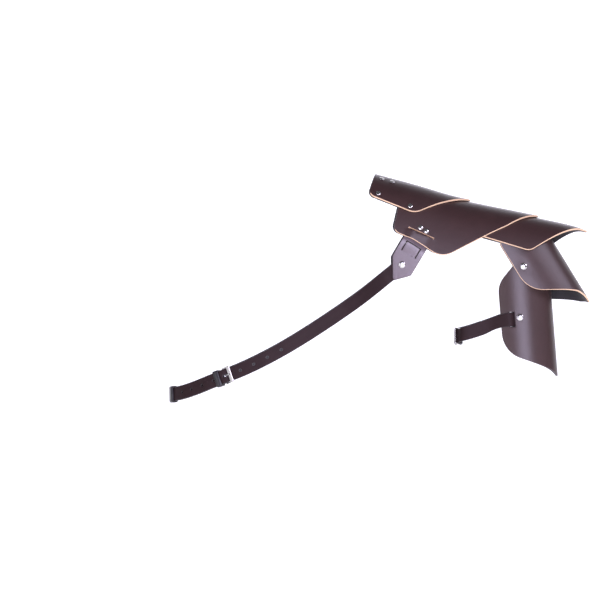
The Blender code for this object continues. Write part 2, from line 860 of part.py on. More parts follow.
ARC_STEPS = 720
arc_marks = [0.0]
for k in range(ARC_STEPS):
    angle = math.pi * (k + 0.5) / ARC_STEPS
    pace = math.hypot(TORSO_HALF_WIDTH * math.sin(angle), TORSO_HALF_DEPTH * math.cos(angle))
    arc_marks.append(arc_marks[-1] + pace * math.pi / ARC_STEPS)

hanger_point, hanger_out = frame_at(hanger_surface, 0, HANGER_RIVET, -PLATE_THICK / 2 - GAP - STRAP_THICK)
hanger_rest = gathered(hanger_point)
hanger_angle = math.acos((TORSO_X - hanger_rest.x) / TORSO_HALF_WIDTH)
ARC_BY_ANGLE = [(math.pi * k / ARC_STEPS, mark) for k, mark in enumerate(arc_marks)]
ANGLE_BY_ARC = [(mark, turned_by) for turned_by, mark in ARC_BY_ANGLE]
HANGER_ARC = linear(ARC_BY_ANGLE, hanger_angle)


def chest_base(arc):
    """The middle line of the loop on the body and its outward normal; arc runs from the side to the front."""
    reach = abs(arc)
    angle = linear(ANGLE_BY_ARC, reach)
    height = hanger_rest.z - LOOP_DROP + LOOP_DROP * smooth(CLIMB_TABLE, reach / HANGER_ARC)
    point = Vector((TORSO_X - TORSO_HALF_WIDTH * math.cos(angle), -TORSO_HALF_DEPTH * math.sin(angle), height))
    out = Vector((-TORSO_HALF_DEPTH * math.cos(angle), -TORSO_HALF_WIDTH * math.sin(angle), 0)).normalized()
    return spread(point), out


end_run = chest_base(HANGER_ARC)[0] - chest_base(HANGER_ARC - 0.001)[0]
end_run = (end_run - hanger_out * end_run.dot(hanger_out)).normalized()


def chest_loop(arc, across, lift):
    """A place on the chest strap: round the loop, up across its width, and out from the body."""
    reach = abs(arc)
    settle = ease((reach - HANGER_ARC + SETTLE_LENGTH) / (SETTLE_LENGTH - SEATED_LENGTH))
    point, out = chest_base(reach)
    ahead = (chest_base(reach + 0.001)[0] - point).normalized().lerp(end_run, settle)
    point = point.lerp(hanger_point + end_run * (reach - HANGER_ARC), settle)
    out = out.lerp(hanger_out, settle).normalized()
    ahead = (ahead - out * ahead.dot(out)).normalized()
    up = out.cross(ahead)
    if up.z < 0:
        up = -up
    point = point + up * across + out * lift
    return point if arc >= 0 else Vector((point.x, -point.y, point.z))


LEVEL = STRAP_THICK / 2
SECOND = LEVEL + STRAP_THICK + FIT
THIRD = SECOND + STRAP_THICK + FIT
KEEPER_TOP = THIRD + STRAP_THICK / 2 + KEEPER_SLACK
FOLD_R = 0.75 * WIRE + FIT + STRAP_THICK / 2
PIVOT_LEVEL = LEVEL + FOLD_R


def buckle_strap_profile(start, pivot, size):
    """From its far end to the buckle, over the pivot bar, round it and back under itself."""
    rows = [(x, LEVEL) for x in evenly(start, pivot - STEP_START, size)]
    rows += [(pivot - STEP_END, SECOND), (pivot - FOLD_RUN, SECOND)]
    rows.append((pivot - FOLD_LEAD, PIVOT_LEVEL + FOLD_R - FOLD_DIP))
    for k in range(7):
        turn = math.pi * k / 6
        rows.append((pivot + FOLD_R * math.sin(turn), PIVOT_LEVEL + FOLD_R * math.cos(turn)))
    rows += [(pivot - FLAP_LENGTH / 2, LEVEL), (pivot - FLAP_LENGTH, LEVEL)]
    return rows


def billet_profile(start, pivot, tail, size):
    """From its far end, under the buckle's bar, over the pivot and on top of the other strap to its free end."""
    over_pivot = PIVOT_LEVEL + FOLD_R + STRAP_THICK + FIT
    rows = [(x, LEVEL) for x in evenly(start, pivot + BILLET_START, size)]
    rows += [(pivot + before, LEVEL + rise) for before, rise in BILLET_RISE]
    rows += [(pivot + before, over_pivot + rise) for before, rise in BILLET_TOP]
    rows += [(pivot - past, THIRD + rise) for past, rise in BILLET_FALL]
    rows += [(x, SECOND) for x in evenly(pivot - BILLET_TAIL, tail, size)]
    return rows


def make_buckle(name, loop, pivot, keepers):
    """A stamped frame with a wide bar, a prong round the pivot bar, and leather keepers on the straps."""
    here = loop(pivot, 0, PIVOT_LEVEL)
    out = (loop(pivot, 0, PIVOT_LEVEL + 0.001) - here).normalized()
    ahead = loop(pivot + 0.001, 0, PIVOT_LEVEL) - here
    level = place(here, out, ahead)
    tilted = level @ Matrix.Rotation(-BUCKLE_TILT, 4, "Y")
    inner = STRAP_WIDTH / 2 + GAP
    half = inner + BUCKLE_SIDE
    far = WIRE / 2 + BUCKLE_OPENING + BUCKLE_BAR
    corners = [(-WIRE / 2, -half, 0.0006), (far, -half, 0.0016), (far, half, 0.0016), (-WIRE / 2, half, 0.0006)]
    near = WIRE / 2
    window = [(near, -inner), (near + BUCKLE_OPENING, -inner), (near + BUCKLE_OPENING, inner), (near, inner)]
    frame = flat_piece(f"{name}_buckle_frame", rounded(corners), WIRE, (), (), [window])
    frame.matrix_world = tilted
    finish(frame, NICKEL, 1, 0.2)
    make_prong(f"{name}_buckle_prong", tilted)
    for keeper_name, at, width, height, low in keepers:
        make_keeper(keeper_name, loop, at, width, height, low)


def make_prong(name, matrix):
    """A wire hooked on the pivot bar, up through the hole and down on the bar."""
    ring = WIRE / 2 + FIT + PRONG_R + 0.0002
    points = []
    for k in range(6):
        turn = math.radians(-150 + 48 * k)
        points.append((ring * math.sin(turn), ring * math.cos(turn)))
    rest = WIRE / 2 + FIT + PRONG_R
    points += [(WIRE / 2 + BUCKLE_OPENING - 0.0010, rest + 0.0006), (WIRE / 2 + BUCKLE_OPENING + 0.0020, rest)]
    points.append((WIRE / 2 + BUCKLE_OPENING + 0.0038, rest))
    curve = bpy.data.curves.new(name, "CURVE")
    curve.dimensions = "3D"
    curve.bevel_depth = PRONG_R
    curve.bevel_resolution = 1
    curve.use_fill_caps = True
    spline = curve.splines.new("POLY")
    spline.points.add(len(points) - 1)
    for dot, (x, z) in zip(spline.points, points):
        dot.co = (x, 0, z, 1)
    guide = bpy.data.objects.new(f"{name}_guide", curve)
    cutters.objects.link(guide)
    bpy.context.view_layer.update()
    data = bpy.data.meshes.new_from_object(guide.evaluated_get(bpy.context.evaluated_depsgraph_get()))
    bpy.data.objects.remove(guide)
    bm = bmesh.new()
    bm.from_mesh(data)
    bmesh.ops.remove_doubles(bm, verts=bm.verts, dist=0.00001)
    bmesh.ops.recalc_face_normals(bm, faces=bm.faces)
    obj = mesh_object(name, bm)
    obj.matrix_world = matrix
    finish(obj, NICKEL, 1, 0.2)


def make_keeper(name, loop, at, width, height, low):
    """A flat leather loop round all the straps at one place."""
    inner_half = STRAP_WIDTH / 2 + 0.0006
    bottom = low - FIT
    top = height + FIT
    corners_in = [(-inner_half, bottom), (inner_half, bottom), (inner_half, top), (-inner_half, top)]
    bm = bmesh.new()
    rings = []
    for grow in (0, KEEPER_THICK):
        for end in (-1, 1):
            ring = []
            for x, z in corners_in:
                x = x + math.copysign(grow, x)
                z = z + (grow if z == top else -grow)
                ring.append(bm.verts.new(loop(at + end * width / 2, x, z)))
            rings.append(ring)
    inner_near, inner_far, outer_near, outer_far = rings
    for k in range(4):
        j = (k + 1) % 4
        bm.faces.new((outer_near[k], outer_near[j], outer_far[j], outer_far[k]))
        bm.faces.new((inner_near[k], inner_far[k], inner_far[j], inner_near[j]))
        bm.faces.new((inner_near[k], inner_near[j], outer_near[j], outer_near[k]))
        bm.faces.new((inner_far[k], outer_far[k], outer_far[j], inner_far[j]))
    bmesh.ops.recalc_face_normals(bm, faces=bm.faces)
    obj = mesh_object(name, bm)
    finish(obj, STRAP_LEATHER, 0, 0.45)


def strap_holes(profile, pivot, first, last):
    """Round holes along the billet; the one with the prong through it is stretched."""
    holes = []
    for k in range(first, last + 1):
        middle = along_strip(profile, pivot + PRONG_HOLE_AT + k * HOLE_PITCH)
        if k:
            holes.append(circle((middle, 0), HOLE_R))
        else:
            half = PRONG_HOLE_LENGTH / 2
            stretched = rounded(bar_outline((middle - half, 0), (middle + half, 0), 2 * HOLE_R))
            holes.append([(p.x, p.y) for p in stretched])
    return holes


chest_end = HANGER_ARC + END_SHARE * STRAP_WIDTH
chest_billet_rows = billet_profile(chest_end, CHEST_PIVOT, CHEST_TAIL, 0.009)
chest_holes = strap_holes(chest_billet_rows, CHEST_PIVOT, -4, 4)
chest_holes.append(circle((along_strip(chest_billet_rows, HANGER_ARC), 0), POST_R + 2 * FIT))
strip("chest_strap_billet", chest_billet_rows, STRAP_WIDTH, chest_loop, chest_holes)

chest_back_rows = buckle_strap_profile(-chest_end, CHEST_PIVOT, 0.009)


def back_openings(rows, rivet_arc, rivet_side=0.0):
    """The rivet's hole at the far end and the prong's slot at the fold."""
    fold = max(range(len(rows)), key=lambda k: rows[k][0])
    rows = [Vector(row) for row in rows]
    apex = sum((b - a).length for a, b in zip(rows[:fold], rows[1:fold + 1]))
    half = PRONG_SLOT_LENGTH / 2
    prong = rounded(bar_outline((apex - half, 0), (apex + half, 0), 2 * PRONG_R + 0.0014))
    return [circle((along_strip(rows, rivet_arc), rivet_side), POST_R + 2 * FIT), [(p.x, p.y) for p in prong]]


strip("chest_strap_back", chest_back_rows, STRAP_WIDTH, chest_loop, back_openings(chest_back_rows, -HANGER_ARC))
chest_keepers = (
    ("chest_keeper", CHEST_PIVOT - KEEPER_BACK, KEEPER_WIDTH, KEEPER_TOP, 0),
    ("chest_end_keeper", END_KEEPER_AT, END_KEEPER_WIDTH, SECOND + STRAP_THICK / 2 + END_KEEPER_SLACK, -FIT),
)
make_buckle("chest", chest_loop, CHEST_PIVOT, chest_keepers)


# The arm strap's loop: out of the cuff's slot, round its front edge and across the inside of the arm

ARM_LEVEL = PLATE_THICK / 2 + GAP
ARM_EDGE = LOWER_REACH + ARM_EDGE_PLAY
ARM_SLOT_ROUND = SLOT_AT[1] + ARM_SLOT_LEAD


def arm_rise(before):
    """How far down the arm the strap has sunk at a distance before the slot."""
    return ARM_STRAP_SLOPE * before * before / (before + ARM_EASE)


def arm_plan():
    """The loop's inner line seen from above, from the inner side of the arm to the cuff's front edge."""
    leave = lower_arm(SLOT_AT[0], ARM_EDGE, ARM_LEVEL)
    before = lower_arm(SLOT_AT[0], ARM_EDGE - ARM_LEAVE_STEP, ARM_LEVEL)
    heading = (leave - before).normalized() * ARM_LEAVE
    leave = Vector((leave.x, leave.y))
    pull = leave + Vector((heading.x, heading.y))
    near = Vector((ARM_LOOP_X, -ARM_LOOP_FLAT))
    knee = Vector((ARM_LOOP_X, -ARM_LOOP_FLAT - ARM_LOOP_CORNER))
    points = [Vector((ARM_LOOP_X, 0)), Vector((ARM_LOOP_X, -ARM_LOOP_FLAT / 2)), near]
    for k in range(1, 13):
        w = k / 12
        a = near.lerp(knee, w)
        b = knee.lerp(pull, w)
        c = pull.lerp(leave, w)
        points.append(a.lerp(b, w).lerp(b.lerp(c, w), w))
    return points


arm_points = arm_plan()
arm_marks = [0.0]
for a, b in zip(arm_points, arm_points[1:]):
    arm_marks.append(arm_marks[-1] + (b - a).length)
EDGE_ARC = arm_marks[-1]
ARM_SLOT_ARC = EDGE_ARC + ARM_EDGE - ARM_SLOT_ROUND
arm_x_table = tuple(zip(arm_marks, (p.x for p in arm_points)))
arm_y_table = tuple(zip(arm_marks, (p.y for p in arm_points)))
EDGE_ALONG = SLOT_AT[0] + arm_rise(ARM_EDGE - ARM_SLOT_ROUND)
edge_height = lower_arm(EDGE_ALONG, ARM_EDGE, ARM_LEVEL).z


def arm_base(arc):
    reach = max(arc, 0)
    height = edge_height - ARM_LOOP_FALL * (1 - (reach / EDGE_ARC) ** ARM_FALL_POWER)
    return Vector((smooth(arm_x_table, reach), smooth(arm_y_table, reach), height))


def arm_loop(arc, across, lift):
    """A place on the arm strap: round from the inner side towards the front slot, up across it, and outward."""
    reach = abs(arc)
    point = arm_base(reach)
    ahead = arm_base(reach + 0.0005) - point
    flat = Vector((ahead.x, ahead.y, 0)).normalized()
    out = Vector((flat.y, -flat.x, 0))
    up = out.cross(ahead.normalized())
    if up.z < 0:
        up = -up
    point = point + up * across + out * lift
    on_plate = ease((reach - EDGE_ARC + ARM_BLEND) / ARM_BLEND)
    if on_plate > 0:
        before = max(ARM_SLOT_ARC - reach, 0)
        slope = math.atan(ARM_STRAP_SLOPE * before * (before + 2 * ARM_EASE) / (before + ARM_EASE) ** 2)
        round_by = ARM_EDGE + EDGE_ARC - reach - across * math.sin(slope)
        along = SLOT_AT[0] + arm_rise(before) - across * math.cos(slope)
        seated = lower_arm(along, round_by, ARM_LEVEL + lift)
        point = point.lerp(seated, on_plate)
    return point if arc >= 0 else Vector((point.x, -point.y, point.z))


def through_slot(rows, side):
    """Carries a profile on from outside the cuff, through the slot, to the rivet inside."""
    arc = ARM_SLOT_ARC
    inside = -PLATE_THICK - 2 * GAP - STRAP_THICK / 2
    rivet_arc = EDGE_ARC + ARM_EDGE - ARM_RIVET_AT[1]
    end = rivet_arc + END_SHARE * STRAP_WIDTH
    more = [(arc + 0.0030, LEVEL), (arc + 0.0070, inside), (rivet_arc, inside), (end, inside)]
    return rows + [(side * x, lift) for x, lift in more]


ARM_RIVET_ARC = EDGE_ARC + ARM_EDGE - ARM_RIVET_AT[1]
arm_rivet_side = SLOT_AT[0] - ARM_RIVET_AT[0]
arm_billet_rows = billet_profile(ARM_SLOT_ARC, ARM_PIVOT, ARM_TAIL, 0.004)[::-1]
arm_billet_rows = divided(through_slot(arm_billet_rows, 1), ARM_CELL)
arm_holes = strap_holes(arm_billet_rows, ARM_PIVOT, -2, 0)
arm_holes.append(circle((along_strip(arm_billet_rows, ARM_RIVET_ARC), arm_rivet_side), POST_R + 2 * FIT))
strip("arm_strap_billet", arm_billet_rows, STRAP_WIDTH, arm_loop, arm_holes)
arm_back_rows = buckle_strap_profile(-ARM_SLOT_ARC, ARM_PIVOT, 0.004)[::-1]
arm_back_rows = divided(through_slot(arm_back_rows, -1)[::-1], ARM_CELL)
arm_back_openings = back_openings(arm_back_rows, -ARM_RIVET_ARC, arm_rivet_side)
strip("arm_strap_back", arm_back_rows, STRAP_WIDTH, arm_loop, arm_back_openings)
arm_keepers = (("arm_keeper", ARM_PIVOT - KEEPER_BACK, KEEPER_WIDTH, KEEPER_TOP, 0),)
make_buckle("arm", arm_loop, ARM_PIVOT, arm_keepers)

for leftover in list(cutters.objects):
    leftover.hide_render = True
    leftover.display_type = "WIRE"
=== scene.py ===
import math
from bisect import bisect_left, bisect_right

import bmesh
import bpy
from mathutils import Matrix, Vector


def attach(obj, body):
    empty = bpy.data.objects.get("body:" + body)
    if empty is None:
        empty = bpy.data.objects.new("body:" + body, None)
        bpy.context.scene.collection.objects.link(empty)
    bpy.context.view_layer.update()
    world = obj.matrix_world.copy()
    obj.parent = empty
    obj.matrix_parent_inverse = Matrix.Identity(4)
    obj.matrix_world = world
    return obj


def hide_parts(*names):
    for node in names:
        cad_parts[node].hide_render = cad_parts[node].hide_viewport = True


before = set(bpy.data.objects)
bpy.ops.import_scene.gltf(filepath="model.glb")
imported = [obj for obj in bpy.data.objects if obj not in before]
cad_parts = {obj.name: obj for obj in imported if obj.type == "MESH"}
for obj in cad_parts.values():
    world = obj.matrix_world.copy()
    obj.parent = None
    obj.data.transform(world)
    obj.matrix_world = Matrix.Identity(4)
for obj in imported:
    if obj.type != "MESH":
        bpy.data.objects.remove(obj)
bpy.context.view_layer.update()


# The studio: a sweep of white paper, flat well below the part and curved up behind it, with the camera level
# with the cuff. The part is held up by the shoulder that it is made for, so it touches nothing here. Soft
# light comes from wide cloth-covered lamps in front and at the sides, a small one near the floor lights the
# hanging tabs, and the paper throws more back from below and behind.
CAMERA_AT = (-0.180, -5.000, -0.13625)
PICTURE_SIDE = 612
FOCAL_PIXELS = 4000
SENSOR_MM = 36
FLOOR = -0.62
SWEEP_BACK = 3.2
SWEEP_FRONT = -4.5
SWEEP_BEND = 1.0
SWEEP_HALF_WIDTH = 5.0
SWEEP_TOP = 4.5
SWEEP_STEPS = 12
PAPER = "F7F7F8"
ROOM = "C9CBD2"


def linear_colour(code, alpha=1.0):
    """An sRGB hex colour as the linear numbers that a shader takes."""
    values = [int(code[k:k + 2], 16) / 255 for k in (0, 2, 4)]
    return tuple(v / 12.92 if v <= 0.04045 else ((v + 0.055) / 1.055) ** 2.4 for v in values) + (alpha,)


def add_node(tree, kind, settings=None, values=None, links=None):
    """Adds one shader node: its settings, its unlinked inputs, and the outputs that its other inputs take."""
    node = tree.nodes.new(kind)
    for key, value in (settings or {}).items():
        setattr(node, key, value)
    for key, value in (values or {}).items():
        node.inputs[key].default_value = value
    for key, output in (links or {}).items():
        tree.links.new(output, node.inputs[key])
    return node


def new_material(name):
    """An empty material with its Principled shader and its tree."""
    material = bpy.data.materials.new(name)
    material.use_nodes = True
    tree = material.node_tree
    return material, tree, tree.nodes["Principled BSDF"]


def link(obj):
    """Puts an object into the scene."""
    bpy.context.scene.collection.objects.link(obj)
    return obj


sweep_line = [(SWEEP_FRONT, FLOOR), (SWEEP_BACK - SWEEP_BEND, FLOOR)]
for k in range(1, SWEEP_STEPS + 1):
    turn = math.pi / 2 * k / SWEEP_STEPS
    back = SWEEP_BACK - SWEEP_BEND + SWEEP_BEND * math.sin(turn)
    sweep_line.append((back, FLOOR + SWEEP_BEND * (1 - math.cos(turn))))
sweep_line.append((SWEEP_BACK, SWEEP_TOP))
sweep_mesh = bpy.data.meshes.new("paper_sweep")
sweep_points = [(x, y, z) for y, z in sweep_line for x in (-SWEEP_HALF_WIDTH, SWEEP_HALF_WIDTH)]
sweep_faces = [(2 * k, 2 * k + 1, 2 * k + 3, 2 * k + 2) for k in range(len(sweep_line) - 1)]
sweep_mesh.from_pydata(sweep_points, [], sweep_faces)
sweep_mesh.shade_smooth()
floor = link(bpy.data.objects.new("paper_sweep", sweep_mesh))
# Matt background paper: even and pale, with a little light of its own so that it is white to its edges
paper, tree, shader = new_material("matt_background_paper")
shader.inputs["Base Color"].default_value = linear_colour(PAPER)
shader.inputs["Roughness"].default_value = 0.9
shader.inputs["Emission Color"].default_value = linear_colour(PAPER)
shader.inputs["Emission Strength"].default_value = 0.62
sweep_mesh.materials.append(paper)

world = bpy.data.worlds.new("studio_room")
bpy.context.scene.world = world
world.use_nodes = True
world.node_tree.nodes["Background"].inputs["Color"].default_value = linear_colour(ROOM)
world.node_tree.nodes["Background"].inputs["Strength"].default_value = 0.20

# name, place, what it faces, width, height, power in watts, colour
LAMPS = (
    ("front_lamp", (-0.35, -5.30, -0.20), (0.02, 0, -0.12), 2.8, 1.7, 260, "E6E0FF"),
    ("right_lamp", (2.00, -1.30, 1.15), (0.10, 0, -0.05), 2.6, 0.8, 52, "EDE6FF"),
    ("low_lamp", (-0.12, -1.15, -0.53), (-0.14, 0, -0.16), 0.5, 0.14, 3.5, "E6E2FF"),
    ("left_lamp", (-1.90, -1.30, 0.05), (0.0, 0, -0.15), 0.5, 1.4, 8, "F1EEFF"),
    ("back_lamp", (0.00, 2.20, 0.75), (0, 0, 0), 2.4, 0.5, 10, "F4F2FF"),
)
for name, place, aim, width, height, power, tint in LAMPS:
    data = bpy.data.lights.new(name, "AREA")
    data.shape = "RECTANGLE"
    data.size = width
    data.size_y = height
    data.energy = power
    data.color = linear_colour(tint)[:3]
    lamp = link(bpy.data.objects.new(name, data))
    lamp.location = place
    lamp.rotation_mode = "QUATERNION"
    lamp.rotation_quaternion = (Vector(aim) - Vector(place)).to_track_quat("-Z", "Y")

camera_data = bpy.data.cameras.new("camera")
camera_data.sensor_width = SENSOR_MM
camera_data.lens = FOCAL_PIXELS / PICTURE_SIDE * SENSOR_MM
camera = link(bpy.data.objects.new("camera", camera_data))
camera.location = CAMERA_AT
camera.rotation_euler = (math.pi / 2, 0, 0)
bpy.context.scene.camera = camera
bpy.context.scene.view_settings.view_transform = "Standard"


# The neck plate: vegetable-tanned shoulder leather, 2.5 mm, cut flat, dyed dark brown on the grain side and
# waxed, then bent wet over a form. Its cut edge is left raw and tan, only rubbed round. It lies on top of the
# other plates.
PLATE_THICK = 0.0025
EDGE_ROUND = 0.00055
GAP = 0.0004
CELL_ALONG = 0.005
CELL_ROUND = 0.003
MERGE = 0.000002
FLAT = 0.999
PROBE = 0.0005

# How far a face of the flat blank looks up to be grain side or down to be flesh side; of the rest, which is
# the cut edge, what looks this far towards the neck is dyed
GRAIN_UP = 0.95
FLESH_UP = -0.3
NECK_SIDE = -0.8

RIDGE_START = -0.092
RIDGE_LENGTH = 0.263
RIDGE_TOP = 0.0242
RIDGE_FALL = 0.0646
SHOULDER_LEAN = math.radians(13.5)
SHOULDER_REACH = 0.105
SHOULDER_TURN = math.radians(80)
SHOULDER_FADE = 1.0
FLARE = 0.503
FLARE_EASE = 0.010
FLARE_FROM = (-0.180, -0.136)
RIDGE_TABLE = (
    (0, 0), (0.186, 0.204), (0.357, 0.409), (0.492, 0.528), (0.631, 0.642), (0.770, 0.757), (0.937, 0.910),
    (1, 1),
)
NECK_START = -0.092
NECK_LENGTH = 0.1215
NECK_REACH = 0.0652
NECK_BEHIND = 0.965
NECK_OUTLINE = ((-0.018, 0, 0.030), (-0.049, 0.872, 0.008), (0.428, 1, 0.018), (1, 0, 0.010))
NECK_RIVETS = ((-0.0860, 0.0246), (-0.0730, 0.0253), (-0.0869, 0.0524))
JOIN_RIVET = (-0.0472, 0.0579)
POST_HOLE_R = 0.0017

DYE = "2E1D1C"
DYE_WORN = "3B2625"
PORE_MM = 0.9
CREASE_MM = 4.5
MOTTLE_MM = 22


def leather_material(name, dye, worn, roughness, relief, shine=0.5):
    """Grain-side leather: soft clouding from the dye, and fine pores that break the shine up."""
    material, tree, shader = new_material(name)
    where = add_node(tree, "ShaderNodeTexCoord").outputs["Object"]
    cloud = add_node(
        tree, "ShaderNodeTexNoise", values={"Scale": 1000 / MOTTLE_MM, "Detail": 4.0, "Roughness": 0.6},
        links={"Vector": where},
    )
    ramp = add_node(
        tree, "ShaderNodeMix", {"data_type": "RGBA"}, {"A": linear_colour(dye), "B": linear_colour(worn)},
        {"Factor": cloud.outputs["Fac"]},
    )
    tree.links.new(ramp.outputs["Result"], shader.inputs["Base Color"])
    pores = add_node(
        tree, "ShaderNodeTexVoronoi", {"feature": "SMOOTH_F1"}, {"Scale": 1000 / PORE_MM, "Randomness": 1.0},
        {"Vector": where},
    )
    creases = add_node(
        tree, "ShaderNodeTexNoise", values={"Scale": 1000 / CREASE_MM, "Detail": 3.0},
        links={"Vector": where},
    )
    height = add_node(
        tree, "ShaderNodeMath", {"operation": "MULTIPLY_ADD"}, {1: 0.5},
        {0: pores.outputs["Distance"], 2: creases.outputs["Fac"]},
    )
    bump = add_node(
        tree, "ShaderNodeBump", values={"Strength": relief, "Distance": 0.0003},
        links={"Height": height.outputs[0]},
    )
    tree.links.new(bump.outputs["Normal"], shader.inputs["Normal"])
    shader.inputs["Roughness"].default_value = roughness
    shader.inputs["Specular IOR Level"].default_value = shine
    return material


def fibre_material(name, light, dark, size_mm, roughness):
    """Cut or flesh-side leather: short felted fibres, matt and a little uneven."""
    material, tree, shader = new_material(name)
    where = add_node(tree, "ShaderNodeTexCoord").outputs["Object"]
    fibres = add_node(
        tree, "ShaderNodeTexNoise", values={"Scale": 1000 / size_mm, "Detail": 5.0, "Roughness": 0.7},
        links={"Vector": where},
    )
    mixed = add_node(
        tree, "ShaderNodeMix", {"data_type": "RGBA"}, {"A": linear_colour(dark), "B": linear_colour(light)},
        {"Factor": fibres.outputs["Fac"]},
    )
    bump = add_node(
        tree, "ShaderNodeBump", values={"Strength": 0.35, "Distance": 0.0002},
        links={"Height": fibres.outputs["Fac"]},
    )
    tree.links.new(mixed.outputs["Result"], shader.inputs["Base Color"])
    tree.links.new(bump.outputs["Normal"], shader.inputs["Normal"])
    shader.inputs["Roughness"].default_value = roughness
    return material


# Waxed grain side: satin, so a wide lamp shows as a broad pale band
waxed_leather = leather_material("waxed_vegetable_tanned_leather", DYE, DYE_WORN, 0.40, 0.25)
# Flesh side: dyed through nearly black, sealed, with no shine to speak of
flesh_leather = fibre_material("sealed_flesh_side_leather", "2A2628", "1D1A1C", 1.2, 0.62)
# Raw cut edge: the tan of undyed leather, rubbed round but not dyed
raw_edge = fibre_material("rubbed_raw_leather_edge", "E6C8A6", "D0A986", 0.8, 0.6)
# Dyed and burnished edge: dark and slightly glossy, as the dye is rubbed into the cut
dyed_edge = fibre_material("dyed_burnished_leather_edge", "4A3A3C", "2E2324", 0.8, 0.45)


def smooth(table, x):
    """Reads a table of (x, y) rows as one smooth curve, carried on straight past its ends."""
    k = 0
    while k < len(table) - 2 and x > table[k + 1][0]:
        k += 1

    def slope(i):
        low = table[max(i - 1, 0)]
        high = table[min(i + 1, len(table) - 1)]
        return (high[1] - low[1]) / (high[0] - low[0])

    (x0, y0), (x1, y1) = table[k], table[k + 1]
    if x < table[0][0]:
        return table[0][1] + slope(0) * (x - table[0][0])
    if x > table[-1][0]:
        return table[-1][1] + slope(len(table) - 1) * (x - table[-1][0])
    width = x1 - x0
    w = (x - x0) / width
    blend = w * w * (3 - 2 * w)
    ends = slope(k) * w * (1 - w) ** 2 - slope(k + 1) * w * w * (1 - w)
    return y0 + (y1 - y0) * blend + width * ends


def ease(w):
    """A soft step from 0 to 1."""
    w = min(max(w, 0), 1)
    return w * w * (3 - 2 * w)


def hump(distance, reach):
    """1 in the middle, falling softly to 0 at a distance."""
    return ease(1 - abs(distance) / reach)


class Fold:
    """A bent sheet's cross-section: how far it has gone out to the side and down after a length round."""

    def __init__(self, reach, turn, fade, steps=480):
        self.reach = reach
        self.turn = turn
        self.fade = fade
        self.step = 2 * reach / steps
        self.side = [0.0]
        self.drop = [0.0]
        for k in range(steps):
            angle = self.angle((k + 0.5) * self.step)
            self.side.append(self.side[-1] + self.step * math.cos(angle))
            self.drop.append(self.drop[-1] + self.step * math.sin(angle))

    def angle(self, length):
        share = min(length / self.reach, 1)
        return self.turn * ((1 - self.fade) * share + self.fade * math.sin(math.pi / 2 * share))

    def at(self, length, lift):
        sign = -1 if length < 0 else 1
        length = abs(length)
        k = min(int(length / self.step), len(self.side) - 2)
        part = length / self.step - k
        side = self.side[k] + part * (self.side[k + 1] - self.side[k])
        drop = self.drop[k] + part * (self.drop[k + 1] - self.drop[k])
        angle = self.angle(length)
        return sign * (side + lift * math.sin(angle)), drop - lift * math.cos(angle)

    def length_at_drop(self, drop):
        k = 0
        while k < len(self.drop) - 2 and drop > self.drop[k + 1]:
            k += 1
        rise = self.drop[k + 1] - self.drop[k]
        return self.step * (k + (drop - self.drop[k]) / rise)


shoulder_fold = Fold(SHOULDER_REACH, SHOULDER_TURN, SHOULDER_FADE)


def spread(point):
    """Moves a point out from mid chest by its distance to the front or back."""
    grow = 1 + FLARE * point.y * point.y / (abs(point.y) + FLARE_EASE)
    x, z = FLARE_FROM
    return Vector((x + (point.x - x) * grow, point.y, z + (point.z - z) * grow))


def gathered(point):
    """The reverse of spread."""
    grow = 1 + FLARE * point.y * point.y / (abs(point.y) + FLARE_EASE)
    x, z = FLARE_FROM
    return Vector((x + (point.x - x) / grow, point.y, z + (point.z - z) / grow))


def lifted(sheet, along, round_by, lift):
    """A point straight out from a bent sheet."""
    run = sheet(along + PROBE, round_by) - sheet(along - PROBE, round_by)
    turn = sheet(along, round_by + PROBE) - sheet(along, round_by - PROBE)
    return sheet(along, round_by) + turn.cross(run).normalized() * lift


def shoulder_sheet(along, round_by):
    """The middle of the main plate's leather, along the ridge and round from it to the front."""
    side, drop = shoulder_fold.at(round_by, 0)
    ridge = RIDGE_TOP - RIDGE_FALL * smooth(RIDGE_TABLE, (along - RIDGE_START) / RIDGE_LENGTH)
    outward = along - drop * math.sin(SHOULDER_LEAN)
    return spread(Vector((outward, -side, ridge - drop * math.cos(SHOULDER_LEAN))))


def shoulder(along, round_by, lift=0.0):
    """A point over the shoulder: along the ridge, round to the front, and off the main plate's middle."""
    return lifted(shoulder_sheet, along, round_by, lift)


def rounded(corners):
    """Turns corners (x, y, radius) into the points of a closed outline with arcs at the corners."""
    points = []
    for k, (x, y, radius) in enumerate(corners):
        here = Vector((x, y))
        back = Vector(corners[k - 1][:2]) - here
        on = Vector(corners[(k + 1) % len(corners)][:2]) - here
        half = back.angle(on) / 2
        if radius <= 0 or abs(half - math.pi / 2) < 0.01:
            points.append(here)
            continue
        trim = min(radius / math.tan(half), 0.45 * back.length, 0.45 * on.length)
        reach = trim * math.tan(half)
        centre = here + (back.normalized() + on.normalized()).normalized() * (reach / math.sin(half))
        first = here + back.normalized() * trim - centre
        turn = first.angle_signed(here + on.normalized() * trim - centre)
        count = max(3, math.ceil(abs(turn) / math.radians(8)))
        for i in range(count + 1):
            points.append(centre + Matrix.Rotation(-turn * i / count, 2) @ first)
    return points


def whole_outline(front, back, start, length, reach):
    """A whole outline from the shares of its two halves; corners on the ridge are in the front's table."""
    half = [(start + length * along, reach * across, radius) for along, across, radius in front]
    off_ridge = [row for row in reversed(back) if row[1] > 0]
    half += [(start + length * along, -reach * across, radius) for along, across, radius in off_ridge]
    return rounded(half)


def shorter(outline, share):
    """The table of a back half that hangs down a share as far as the front."""
    return [(along, across * share, radius) for along, across, radius in outline]


def circle(at, radius, sides=20):
    """A round hole's outline."""
    turns = [2 * math.pi * (k + 0.5) / sides for k in range(sides)]
    return [Vector((at[0] + radius * math.cos(turn), at[1] + radius * math.sin(turn))) for turn in turns]


